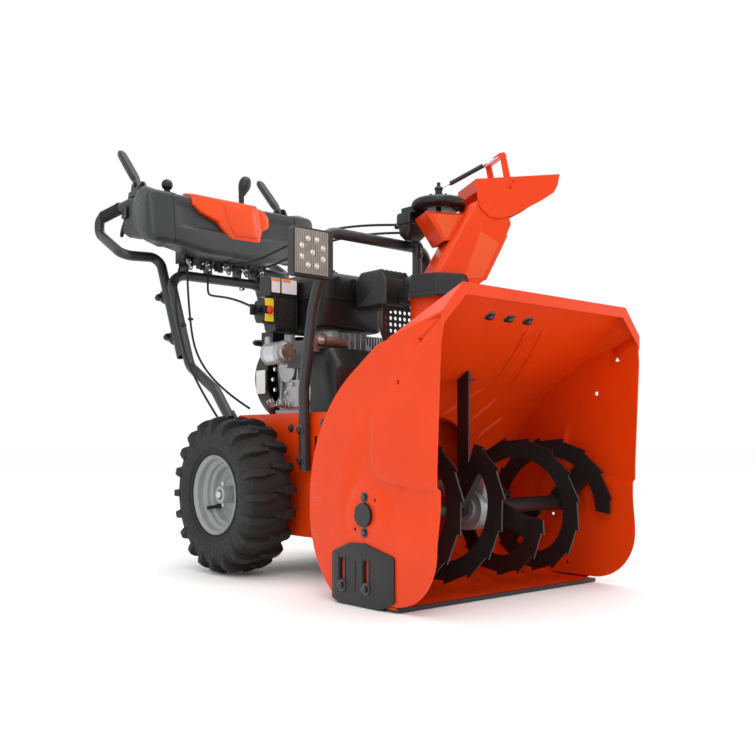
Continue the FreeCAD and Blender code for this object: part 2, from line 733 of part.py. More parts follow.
def gear(name, teeth, width, first_angle, x, y, z):
    """Spur gear about an axis along X."""
    obj = DOC.addObject("Part::Feature", name)
    face = Part.Face(gear_wire(int(D[teeth]), D["gear_module"], first_angle))
    obj.Shape = face.extrude(V(0, 0, width))
    obj.Placement = FreeCAD.Placement(V(x, y, z), frame_rotation(AXES["Y"], AXES["X"]))
    return obj


def drive_disc_bracket():
    """Bracket and pin under the chassis top that carry the drive disc."""
    shaft_y, shaft_z = friction_shaft_place()
    disc_face = shaft_y - FRICTION_RADIUS - 0.5
    back = disc_face - DISC_DEPTH - 9
    post = cylinder("drive_disc_post", 8 - D["running_gap"], 92, (0, back, shaft_z), AXES["Y"])
    sheet = box("drive_disc_sheet", (-D["frame_half"] + 2, back - 4, shaft_z - 20),
                (D["frame_half"] - 2, back, shaft_z + 20))
    return fuse("disc_bracket", [post, sheet])


def final_drive():
    """Axle gear, the friction shaft with its pinion and wheel, and the drive disc."""
    y = D["axle_y"]
    z = D["axle_z"]
    shaft_y, shaft_z = friction_shaft_place()
    mesh_angle = math.atan2(shaft_z - z, shaft_y - y)
    pitch = 2 * math.pi / D["gear_teeth"]
    big = gear("axle_gear_teeth", "gear_teeth", 12, mesh_angle + pitch / 2, -100, y, z)
    big_hub = cylinder("axle_gear_hub", 20, 24, (-106, y, z), AXES["X"])
    big_bore = cylinder("axle_gear_bore", "Dims.shaft_radius + Dims.running_gap", 60,
                        (-130, y, z), AXES["X"])
    holes = []
    for i in range(5):
        angle = 2 * math.pi * i / 5
        holes.append(cylinder("axle_gear_hole_%d" % i, 10, 30,
                              (-115, y + 40 * math.cos(angle), z + 40 * math.sin(angle)), AXES["X"]))
    node("axle_gear", cut("axle_gear_cut", fuse("axle_gear_blank", [big, big_hub]),
                          group("axle_gear_cuts", [big_bore] + holes)))

    small = gear("pinion_teeth_solid", "pinion_teeth", 18, mesh_angle + math.pi, -103, shaft_y, shaft_z)
    rod_part = cylinder("friction_rod", 6, 2 * D["frame_half"] + 10,
                        (-D["frame_half"] - 5, shaft_y, shaft_z), AXES["X"])
    hexed = hexagon("friction_hex", 19, 190, (-80, shaft_y, shaft_z), AXES["X"])
    wheel = fuse("friction_wheel_solid", [
        cylinder("friction_disc", 62, 5, (28, shaft_y, shaft_z), AXES["X"]),
        cylinder("friction_rim", FRICTION_RADIUS, 12, (24.5, shaft_y, shaft_z), AXES["X"]),
        cylinder("friction_hub", 24, 26, (18, shaft_y, shaft_z), AXES["X"]),
    ])
    hollow = group("friction_cuts", [
        cut("friction_dish", cylinder("friction_dish_out", 56, 3.6, (24.4, shaft_y, shaft_z), AXES["X"]),
            cylinder("friction_dish_in", 24, 3.6, (24.4, shaft_y, shaft_z), AXES["X"])),
        hexagon("friction_wheel_bore", 19, 80, (0, shaft_y, shaft_z), AXES["X"]),
    ])
    node("friction_shaft", fuse("friction_shaft_solid", [small, rod_part, hexed]),
         cut("friction_wheel_cut", wheel, hollow))

    disc_face = shaft_y - FRICTION_RADIUS - 0.5
    disc = turned("drive_disc_solid", (
        (8, 0), (42, 0), (34, 4), (34, 15), (42, 19), (42, 22), (18, 22),
        (18, DISC_DEPTH - 10), (88, DISC_DEPTH - 10), (88, DISC_DEPTH), (8, DISC_DEPTH)),
        (0, disc_face - DISC_DEPTH, shaft_z), AXES["Y"])
    node("drive_disc", disc)


def wheel_parts():
    """Tyres with block treads, dished rims and the two half axles."""
    width = D["tyre_outer_x"] - D["tyre_inner_x"]
    outer = D["tyre_radius"]
    tread = outer - D["tyre_groove"] - 4
    base = V(D["tyre_inner_x"], D["axle_y"], D["axle_z"])
    place = FreeCAD.Placement(base, turn_to(AXES["X"]))
    carcass = turned("tyre_carcass", (
        (86, 14), (118, 3), (150, 0, 20), (181, 9, 8), (outer, 24, 5), (outer, width - 24, 5),
        (181, width - 9, 8), (150, width, 20), (118, width - 3), (86, width - 14),
        (86, width - 22), (116, width - 11), (148, width - 8, 15), (tread - 2, width - 17),
        (tread, width - 26), (tread, 26), (tread - 2, 17), (148, 8, 15), (116, 11), (86, 22)),
        (D["tyre_inner_x"], D["axle_y"], D["axle_z"]), AXES["X"])
    grooves = []
    count = 16
    for row, (start, slant) in enumerate(((-8, 24), (width / 2 + 2, -24))):
        for i in range(count):
            angle = 360.0 * (i + 0.5 * row) / count
            groove = box("tread_groove_%d_%d" % (row, i), (outer - D["tyre_groove"], -9, start),
                         (outer + 10, 9, start + width / 2 + 6))
            lean = FreeCAD.Placement(V(0, 0, 0), FreeCAD.Rotation(V(1, 0, 0), slant),
                                     V(outer, 0, start + width / 4))
            spin = FreeCAD.Placement(V(0, 0, 0), FreeCAD.Rotation(V(0, 0, 1), angle))
            groove.Placement = place.multiply(spin).multiply(lean).multiply(groove.Placement)
            grooves.append(groove)
    tyre = cut("tyre_cut", carcass, group("tread_grooves", grooves))
    rim = turned("rim_solid", (
        (9.5, 2), (22, 2), (22, 44), (40, 38), (81, 34, 6), (81, 10), (88, 3), (90, 3), (90, 6),
        (85.5, 11), (85.5, width - 9), (90, width - 3), (90, width + 1), (86, width + 1),
        (81, width - 6), (81, 40), (42, 44), (26, 52), (26, width - 12), (9.5, width - 12)),
        (D["tyre_inner_x"], D["axle_y"], D["axle_z"]), AXES["X"])
    valve_base = (D["tyre_inner_x"] + 36, D["axle_y"] + 66, D["axle_z"] + 26)
    valve = cylinder("valve", 3.5, 30, valve_base, AXES["X"])
    rim_valve = fuse("rim_with_valve", [rim, valve])
    axle = fuse("axle_solid", [
        cylinder("axle_rod", "Dims.shaft_radius", D["tyre_outer_x"] - 6,
                 (8, D["axle_y"], D["axle_z"]), AXES["X"]),
        hexagon("axle_nut", 24, 8, (D["tyre_outer_x"] - 11.5, D["axle_y"], D["axle_z"]), AXES["X"]),
    ])
    node("tyre_left", tyre)
    node("tyre_right", mirrored("tyre_mirrored", tyre))
    node("rim_left", rim_valve, axle)
    node("rim_right", mirrored("rim_mirrored", rim_valve), mirrored("axle_mirrored", axle))


# -------------------------------------------------------------------- engine

def pulley_profile(radius):
    """Turning profile of a V pulley of an outside radius."""
    return ((8, 0), (radius, 0), (radius - 8, 4), (radius - 8, 15), (radius, 19), (radius, 22), (8, 22))


def belt_corners(z_top, r_top, z_low, r_low):
    """Corners, rounded to the pulleys, of a loop round two pulleys one above the other."""
    lean = math.asin((r_low - r_top) / (z_top - z_low))
    high = z_top + r_top
    low = z_low - r_low
    half_high = (r_top - r_top * math.sin(lean)) / math.cos(lean)
    half_low = (r_top - (low - z_top) * math.sin(lean)) / math.cos(lean)
    return ((-half_low, low, r_low), (-half_high, high, r_top),
            (half_high, high, r_top), (half_low, low, r_low))


def belt(name, middle_y, z_top, r_top, z_low, r_low):
    """Belt loop 9 mm deep and 9.6 mm wide."""
    loop = plate(name, "XZ", belt_corners(z_top, r_top + 9, z_low, r_low + 9), middle_y - 4.8, 9.6,
                 (), [belt_corners(z_top, r_top, z_low, r_low)])
    return loop


def engine_parts():
    """Engine with finned cylinder, tank, hood, starter, muffler, recoil housing and belts."""
    crank = D["crank_z"]
    top = D["frame_top"] + 0.5
    block = fuse("engine_solid", [
        box("engine_base", (-84, -84, top), (92, 100, top + 12)),
        plate("crankcase", "XZ", (
            (-76, top + 10, 6), (86, top + 10, 6), (92, 470, 20), (84, 560, 12),
            (-50, 572, 14), (-84, 520, 20)), -82, 176),
        cylinder("crank_boss", 34, 8, (0, -88, crank), AXES["Y"]),
        box("head_block", (84, -46, 486), (170, 46, 570)),
        box("intake_flange", (-96, -30, 520), (-60, 30, 566)),
    ])
    fins = []
    for i in range(9):
        fins.append(box("fin_%d" % i, (90 + 9 * i, -62, 470), (93 + 9 * i, 62, 586)))
    for i in range(6):
        fins.append(box("front_fin_%d" % i, (-42 + 18 * i, -100, 520), (-38 + 18 * i, -80, 584)))
    crank_bore = cylinder("crank_bore", 12 + D["running_gap"], 80, (0, -100, crank), AXES["Y"])
    carburettor = fuse("carb_solid", [
        box("carb_body", (-126, -26, 522), (-96.5, 26, 564)),
        cylinder("carb_throat", 13, 18, (-112, 0, 562), AXES["Z"]),
        cylinder("carb_bowl", 15, 22, (-112, 0, 500), AXES["Z"])])
    node("engine_block", cut("engine", fuse("engine_finned", [block] + fins), crank_bore), carburettor)

    crank_rod = cylinder("crank_rod", 12, 128, (0, -174, crank), AXES["Y"])
    pulley_a = turned("engine_pulley_auger", pulley_profile(38), (0, D["belt_y"] - 11, crank), AXES["Y"])
    pulley_b = turned("engine_pulley_drive", pulley_profile(42), (0, D["belt_y"] + 28, crank), AXES["Y"])
    node("engine_pulley", fuse("engine_pulleys", [crank_rod, pulley_a, pulley_b]))

    shaft_y, shaft_z = friction_shaft_place()
    disc_pulley_y = shaft_y - FRICTION_RADIUS - 0.5 - DISC_DEPTH + 11
    belts = [
        belt("auger_belt", D["belt_y"] - 1.5, crank, 30.4, D["impeller_z"], 67.4),
        belt("drive_belt", disc_pulley_y - 1.5, crank, 34.4, shaft_z, 34.5),
    ]
    node("drive_belts", group("belts", belts))

    cover_outer = plate("cover_outer", "YZ", (
        (-195, top), (-195, 498, 8), (-166, 536, 8), (-91, 540), (-91, top)), -118, 236)
    cover_inner = plate("cover_inner", "YZ", (
        (-192, top - 5), (-192, 497, 6), (-164.5, 533, 6), (-85, 536), (-85, top - 5)), -115, 230)
    node("belt_cover", cut("cover", cover_outer, cover_inner))

    tank = plate("tank_pad", "XZ", (
        (-102, 592, 30), (112, 592, 30), (112, 732, 34), (-102, 732, 34)), -106, 200)
    tank_void = box("tank_void", (-92, -96, 604), (102, 84, 720))
    filler = cylinder("tank_filler", 20, 16, (24, 20, 722), AXES["Z"])
    seam = plate("tank_seam", "XZ", (
        (-105, 664, 2), (115, 664, 2), (115, 669, 2), (-105, 669, 2)), -109, 206)
    cap = fuse("fuel_cap_solid", [
        cylinder("fuel_cap_disc", 27, 14, (24, 20, 738), AXES["Z"]),
        box("fuel_cap_grip", (2, 15, 751), (46, 25, 760))])
    node("fuel_tank", cut("tank", fuse("tank_outer", [tank, filler, seam]), tank_void), cap)

    hood_outer = fuse("hood_outer", [
        plate("hood_slab", "YZ", (
            (-31, 669, 4), (-31, 712, 10), (8, 716, 10), (17, 706, 8), (17, 669, 4)), -190, 82),
        plate("hood_case", "YZ", (
            (-31, 582, 6), (-31, 674), (17, 674), (17, 590, 6), (8, 582, 6)), -176, 68),
        plate("choke_case", "YZ", (
            (-27, 602, 4), (-27, 662, 4), (16, 662, 4), (16, 602, 4)), -206, 32)])
    hood_inner = fuse("hood_inner", [
        box("slab_hollow", (-186, -27, 673), (-100, 12, 705)),
        box("case_hollow", (-172, -27, 587), (-100, 12, 676)),
        box("choke_hollow", (-202, -23, 606), (-170, 12, 658))])
    key_hole = cylinder("hood_key_hole", 6 + D["running_gap"], 12, (-211, -4, 632), AXES["X"])
    node("engine_hood", cut("hood", hood_outer, group("hood_cuts", [hood_inner, key_hole])))
    node("ignition_key", fuse("key_solid", [
        cylinder("key_barrel", 6, 13, (-214, -4, 632), AXES["X"]),
        cylinder("key_dial", 14, 4, (-218, -4, 632), AXES["X"]),
        box("key_blade", (-230, -7, 618), (-218, -1, 646))]))

    node("starter_motor", fuse("starter_solid", [
        cylinder("starter_can", 28, 84, (-156, -46, 532), AXES["Y"]),
        cylinder("starter_end", 22, 10, (-156, -56, 532), AXES["Y"]),
        box("starter_foot", (-146, -44, 496), (-88, -18, 518)),
        cylinder("starter_lug", 9, 20, (-156, 28, 554), AXES["Z"])]))

    shroud_outer = cylinder("shroud_outer", 112, 52, (0, 101, crank), AXES["Y"])
    shroud_inner = cylinder("shroud_inner", 108, 45, (0, 98, crank), AXES["Y"])
    grille = []
    for ring, count in ((38, 8), (62, 14), (86, 20)):
        for i in range(count):
            angle = 2 * math.pi * i / count
            place = (ring * math.cos(angle), 140, crank + ring * math.sin(angle))
            grille.append(cylinder("grille_%d_%d" % (ring, i), 6, 20, place, AXES["Y"]))
    recoil_can = cylinder("recoil_can", 26, 26, (0, 146, crank), AXES["Y"])
    rope_guide = fuse("rope_guide", [
        box("rope_box", (-92, 101, 540), (-52, 153, 600)),
        cylinder("rope_boss", 13, 8, (-72, 150, 575), AXES["Y"])])
    guide_bore = cylinder("rope_bore", 5.4, 80, (-72, 98, 575), AXES["Y"])
    frame_clear = box("shroud_frame_clear", (-120, 95, top - 30), (120, 180, top))
    node("engine_shroud", cut("shroud", fuse("shroud_body", [
        cut("shroud_can", shroud_outer, shroud_inner), recoil_can, rope_guide]),
        group("shroud_cuts", grille + [guide_bore, frame_clear])))
    node("recoil_handle", fuse("recoil_solid", [
        cylinder("recoil_stem", 5, 34, (-72, 128, 575), AXES["Y"]),
        box("recoil_grip", (-106, 162, 566), (-38, 178, 584))]))

    muffler_body = plate("muffler_pad", "YZ", (
        (-225, 641, 6), (-225, 706, 4), (-208, 728, 4), (-134, 728, 4), (-117, 706, 4), (-117, 641, 6)),
        0, 90)
    muffler_void = box("muffler_void", (5, -219, 648), (85, -123, 720))
    pipe = rod("exhaust_pipe", ((150, -40, 552), (150, -80, 552), (50, -168, 596), (50, -168, 645)), 13)
    manifold = fuse("manifold", [
        cylinder("manifold_pipe", 11, 100, (-128, -116, 554), AXES["X"]),
        cylinder("manifold_elbow", 12.5, 28, (-128, -116, 532), AXES["Z"]),
        cylinder("manifold_flange", 17, 5, (-128, -116, 529), AXES["Z"]),
        hexagon("manifold_bolt", 11, 8, (-128, -126, 552), V(0, -1, 0))])
    muffler_outer = fuse("muffler_outer", [muffler_body, pipe])
    node("muffler", cut("muffler_solid", muffler_outer, muffler_void), manifold)
    holes = []
    for row in range(5):
        for column in range(6):
            holes.append((7 + 15 * column, 566 + 15 * row, 4.6))
    node("muffler_guard", plate("guard_sheet", "XZ", (
        (-4, 552, 5), (92, 552, 5), (92, 640.5, 5), (-4, 640.5, 5)), -224, 2, holes))


# --------------------------------------------------------------------- chute

def chute_direction():
    """Unit vectors of the chute at rest: where it throws, and across it."""
    angle = math.radians(D["chute_turn"])
    return V(math.sin(angle), -math.cos(angle), 0), V(math.cos(angle), math.sin(angle), 0)


def chute_plate(name, corners, offset, thickness, holes=()):
    """Plate in a plane beside the chute's middle, drawn as (throw, height)."""
    body = plate(name, "XZ", corners, offset, thickness, holes)
    forward, across = chute_direction()
    body.Placement = FreeCAD.Placement(V(D["chute_x"], D["chute_y"], 0), frame_rotation(forward, AXES["Z"]))
    return body


def chute_parts():
    """Turning chute, its skirt, hood deflector with bail, rotator head and spring."""
    half = D["chute_half"]
    base = D["chute_base"]
    centre = (D["chute_x"], D["chute_y"])
    side = ((-50, base + 8), (62, base + 8), (93, 690), (158, 822, 8), (136, 882, 14), (104, 888, 14),
            (72, 868), (58, 862), (-27, 709), (-44, 684))
    inner = ((-47, base + 11), (59, base + 11), (90, 692), (160, 830), (190, 960), (60, 960),
             (61, 860), (-24, 707), (-41, 682))
    front_open = ((66, 706), (93, 690), (200, 822), (200, 960), (118, 960), (118, 800))
    solid = chute_plate("chute_solid", side, -half, 2 * half)
    void = chute_plate("chute_void", inner, -half + 3, 2 * half - 6)
    mouth = chute_plate("chute_mouth", front_open, -half + 3, 2 * half - 6)
    ring = cylinder("chute_ring", 72, 4, (*centre, base + 0.6), AXES["Z"])
    neck = cylinder("chute_neck", 62, 30, (*centre, base + 0.6), AXES["Z"])
    bore = cylinder("chute_bore", 56, 60, (*centre, base - 5), AXES["Z"])
    gussets = []
    for offset in (-42, 39):
        gussets.append(chute_plate("gusset_%d" % offset, (
            (-44, 843, 4), (50, 843), (14, 779), (-2, 777, 4)), offset, 3))
    shelf = chute_plate("chute_shelf", ((-44, 840), (50, 840), (50, 843.5), (-44, 843.5)), -42, 84)
    pin = cylinder("chute_pin", 6, 74, (*centre, 840), AXES["Z"])
    pivot_holes = cylinder("deflector_pivot_holes", 4.2, 200, (0, 0, 0), AXES["Z"])
    forward, across = chute_direction()
    pivot = V(*centre, 0) + forward * 118 + V(0, 0, 872)
    pivot_holes.Placement = FreeCAD.Placement(pivot - across * 100, turn_to(across))
    shell = cut("chute_shell", fuse("chute_outer", [solid, ring, neck]),
                group("chute_cuts", [void, mouth, bore, pivot_holes]))
    node("chute", fuse("chute_all", [shell] + gussets + [shelf, pin]))

    octagon = DOC.addObject("Part::Prism", "skirt_prism")
    octagon.Polygon = 8
    octagon.Circumradius = 88
    octagon.Height = 48
    octagon.Placement.Base = V(*centre, base - 12)
    skirt_room = cylinder("skirt_room", 76, 18, (*centre, base - 13), AXES["Z"])
    skirt_hole = chute_plate("skirt_hole", ((-50, base), (62, base), (96, 692), (96, 720), (-50, 720)),
                             -half, 2 * half)
    skirt_bore = cylinder("skirt_bore", 62, 60, (*centre, base), AXES["Z"])
    node("chute_guard", cut("skirt", octagon, group("skirt_cuts", [skirt_room, skirt_hole, skirt_bore])))

    side = ((70, 920, 4), (279, 946, 3), (273, 918), (264, 902), (231, 880), (168, 846),
            (128, 832, 14), (103, 835), (81, 854), (74, 872))
    near = chute_plate("deflector_near", side, half + 1, 2.5, [(154, 907, 4)])
    far = chute_plate("deflector_far", side, -half - 3.5, 2.5, [(154, 907, 4)])
    roof = chute_plate("deflector_roof", ((70, 917.5), (70, 920), (279, 946), (279, 943.4)),
                       -half - 3.5, 2 * half + 7)
    back = chute_plate("deflector_back", ((70, 920), (72.5, 920), (74.5, 892), (72, 892)),
                       -half - 3.5, 2 * half + 7)
    rivets = cylinder("deflector_rivets", 4.1, 2 * half + 8, (0, 0, 0), AXES["Z"])
    rivets.Placement = FreeCAD.Placement(pivot - across * (half + 4), turn_to(across))
    rivet_gap = cylinder("deflector_rivet_gap", 20, 2 * half - 7, (0, 0, 0), AXES["Z"])
    rivet_gap.Placement = FreeCAD.Placement(pivot - across * (half - 3.5), turn_to(across))
    pins = cut("deflector_pins", rivets, rivet_gap)
    bail = []
    for offset in (-46, 43):
        bail.append(chute_plate("bail_%d" % offset, (
            (146, 927), (162, 929), (148, 992, 5), (134, 988, 5)), offset, 3))
    cross = chute_plate("bail_cross", ((132, 978), (148, 982), (146, 992), (132, 988)), -46, 92)
    node("deflector", fuse("deflector_all", [near, far, roof, back, pins] + bail + [cross]))

    coil_from = V(*centre, 0) + forward * 14 + V(0, 0, 907)
    coil_to = V(*centre, 0) + forward * 128 + V(0, 0, 982.5)
    spring = rod("spring_rod", (tuple(coil_from), tuple(coil_to)), 2.0)
    coil = cylinder("spring_coil", 5.5, 56, tuple(coil_from + (coil_to - coil_from) * 0.35),
                    unit(coil_from, coil_to))
    eye = cylinder("spring_eye", 7.5, 5, (*centre, 904), AXES["Z"])
    link = rod("spring_link", ((centre[0], centre[1], 906.5), tuple(coil_from)), 2.4)
    eye_hole = cylinder("spring_eye_hole", 6, 20, (*centre, 896), AXES["Z"])
    node("deflector_spring", cut("spring", fuse("spring_all", [spring, coil, eye, link]), eye_hole))

    cap = turned("head_cap", (
        (6.06, 858), (40, 858), (58, 862, 3), (63, 866, 3), (63, 878, 5), (34, 884), (6.06, 884)),
        (*centre, 0), AXES["Z"])
    arm = box("head_arm", (50, -257, 800), (114, -216, 862))
    arm_top = box("head_arm_top", (56, -300, 862), (108, -218, 879))
    post = cylinder("head_post", 9, 464, (104, -226, 340), AXES["Z"])
    brace = box("head_brace", (88, -230, 806), (112, -198, 812))
    brace_hook = box("head_brace_hook", (88, -212, 790), (112, -208, 810))
    foot = box("head_foot", (86, -240, 330), (122, -203, 344))
    bar_room = cylinder("head_bar_room", "Dims.light_tube_radius", 60, (70, -199, 795), AXES["X"])
    pin_room = cylinder("head_pin_room", 6 + D["running_gap"], 80, (*centre, 840), AXES["Z"])
    drum_room = cylinder("head_drum_room", D["drum_radius"] + D["sheet_t"], 80,
                         (0, -270, D["impeller_z"]), AXES["Y"])
    node("chute_head", cut("head", fuse("head_all", [cap, arm, arm_top, post, foot, brace, brace_hook]),
                           group("head_cuts", [pin_room, bar_room, drum_room])))


# ------------------------------------------------------- handles and console

LEG_FOOT = ((110, 289.3), (205, 391))
LOWER_LEG = ((190.3, 375.2), (262, 452), (397, 525), (514, 795))
FOOT_THICKNESS = 10.0
GRIP_X = 240.0
TRIGGER_X = 254.0
LOOP_X = 284.0
LEVER_SLOT = ((38, 426, 980), (62, 520, 1060))
LEVER_LEAN = 12     # degrees that the drive lever's knob leans to the operator's left


def flattened_foot(side, sign):
    """Pressed-flat end of a lower handle leg, where two bolts hold it to the chassis."""
    (low_y, low_z), (high_y, high_z) = LEG_FOOT
    run = math.hypot(high_y - low_y, high_z - low_z)
    across_y = -(high_z - low_z) / run * D["tube_radius"]
    across_z = (high_y - low_y) / run * D["tube_radius"]
    inner = D["frame_half"] + 0.3
    start = inner if sign > 0 else -inner - FOOT_THICKNESS
    return plate("leg_foot_" + side, "YZ", (
        (low_y - across_y, low_z - across_z, 10), (high_y - across_y, high_z - across_z, 4),
        (high_y + across_y, high_z + across_z, 4), (low_y + across_y, low_z + across_z, 10)),
        start, FOOT_THICKNESS)


def handle_parts():
    """Light bar, lower handle, the two upper handles with their D grips, and knobs."""
    leg = ((-134, 250), (-130, 440), (-163, 619), (-196, 700), (-199, 795))
    near = [(-165, y, z) for y, z in leg]
    far = [(165, y, z) for y, z in reversed(leg)]
    bar = tube("light_tube", near + far, "light_tube_radius", "tube_wall", 48)
    tab = fuse("light_tab", [
        box("light_tab_plate", (-183.5, -246, 712), (-179.5, -190, 742)),
        box("light_tab_bridge", (-183.5, -208, 712), (-170, -190, 742))])
    tab_hole = cylinder("light_tab_hole", 5 + D["running_gap"], 20, (-190, -232, 727), AXES["X"])
    bore = cylinder("light_bar_tab_clear", 10.7, 34, (-165, -197.5, 710), AXES["Z"])
    tab_cut = cut("light_tab_cut", tab, group("light_tab_cuts", [tab_hole, bore]))
    node("light_bar", fuse("light_bar_all", [bar, tab_cut]))

    low_near = [(-163, y, z) for y, z in LOWER_LEG]
    low_far = [(163, y, z) for y, z in reversed(LOWER_LEG)]
    feet = [flattened_foot(side, sign) for side, sign in SIDES]
    node("lower_handle", fuse("lower_all", [
        tube("lower_tube", low_near + low_far, "tube_radius", "tube_wall", 55)] + feet))

    upper = tube("upper_tube", (
        (163, 442, 553), (163, 570, 848), (LOOP_X, 556, 838), (LOOP_X, 707, 922),
        (LOOP_X, 707, 966), (GRIP_X, 520, 1000)), "tube_radius", "tube_wall", 30)
    loop_room = cylinder("loop_room", 12.1, 300, (GRIP_X, 520, 1000), V(LOOP_X - GRIP_X, 187, -34))
    ears = fuse("trigger_ears", [
        box("trigger_ear_inner", (TRIGGER_X - 12, 574, 950), (TRIGGER_X - 8, 602, 984)),
        box("trigger_ear_outer", (TRIGGER_X + 8, 574, 950), (TRIGGER_X + 12, 602, 984)),
        box("trigger_ear_top", (TRIGGER_X - 12, 574, 972), (TRIGGER_X + 12, 602, 978))])
    pin_hole = cylinder("trigger_hole", 3 + D["running_gap"], 60, (TRIGGER_X - 30, 588, 962), AXES["X"])
    upper_all = fuse("upper_with_ears", [
        upper, cut("trigger_ears_cut", ears, group("trigger_ear_cuts", [loop_room, pin_hole]))])
    node("handle_left", upper_all)
    node("handle_right", mirrored("upper_mirrored", upper_all))

    knobs = []
    along = V(0, 117, 270)
    along.normalize()
    back = V(0, along.z, -along.y)
    for side, sign in SIDES:
        for z in (625, 745):
            seat = V(sign * 163, 442 + (z - 553) * 0.434, z) + back * 14.3
            grip = [
                cylinder("knob_hub_%s_%d" % (side, z), 12, 16, tuple(seat), back),
                box("knob_wing_%s_%d" % (side, z), (-7, -24, 8), (7, 24, 26)),
            ]
            grip[1].Placement = FreeCAD.Placement(seat, frame_rotation(AXES["X"], back)).multiply(
                grip[1].Placement)
            knobs.append(fuse("knob_%s_%d" % (side, z), grip))
    node("handle_knobs", group("knobs", knobs))


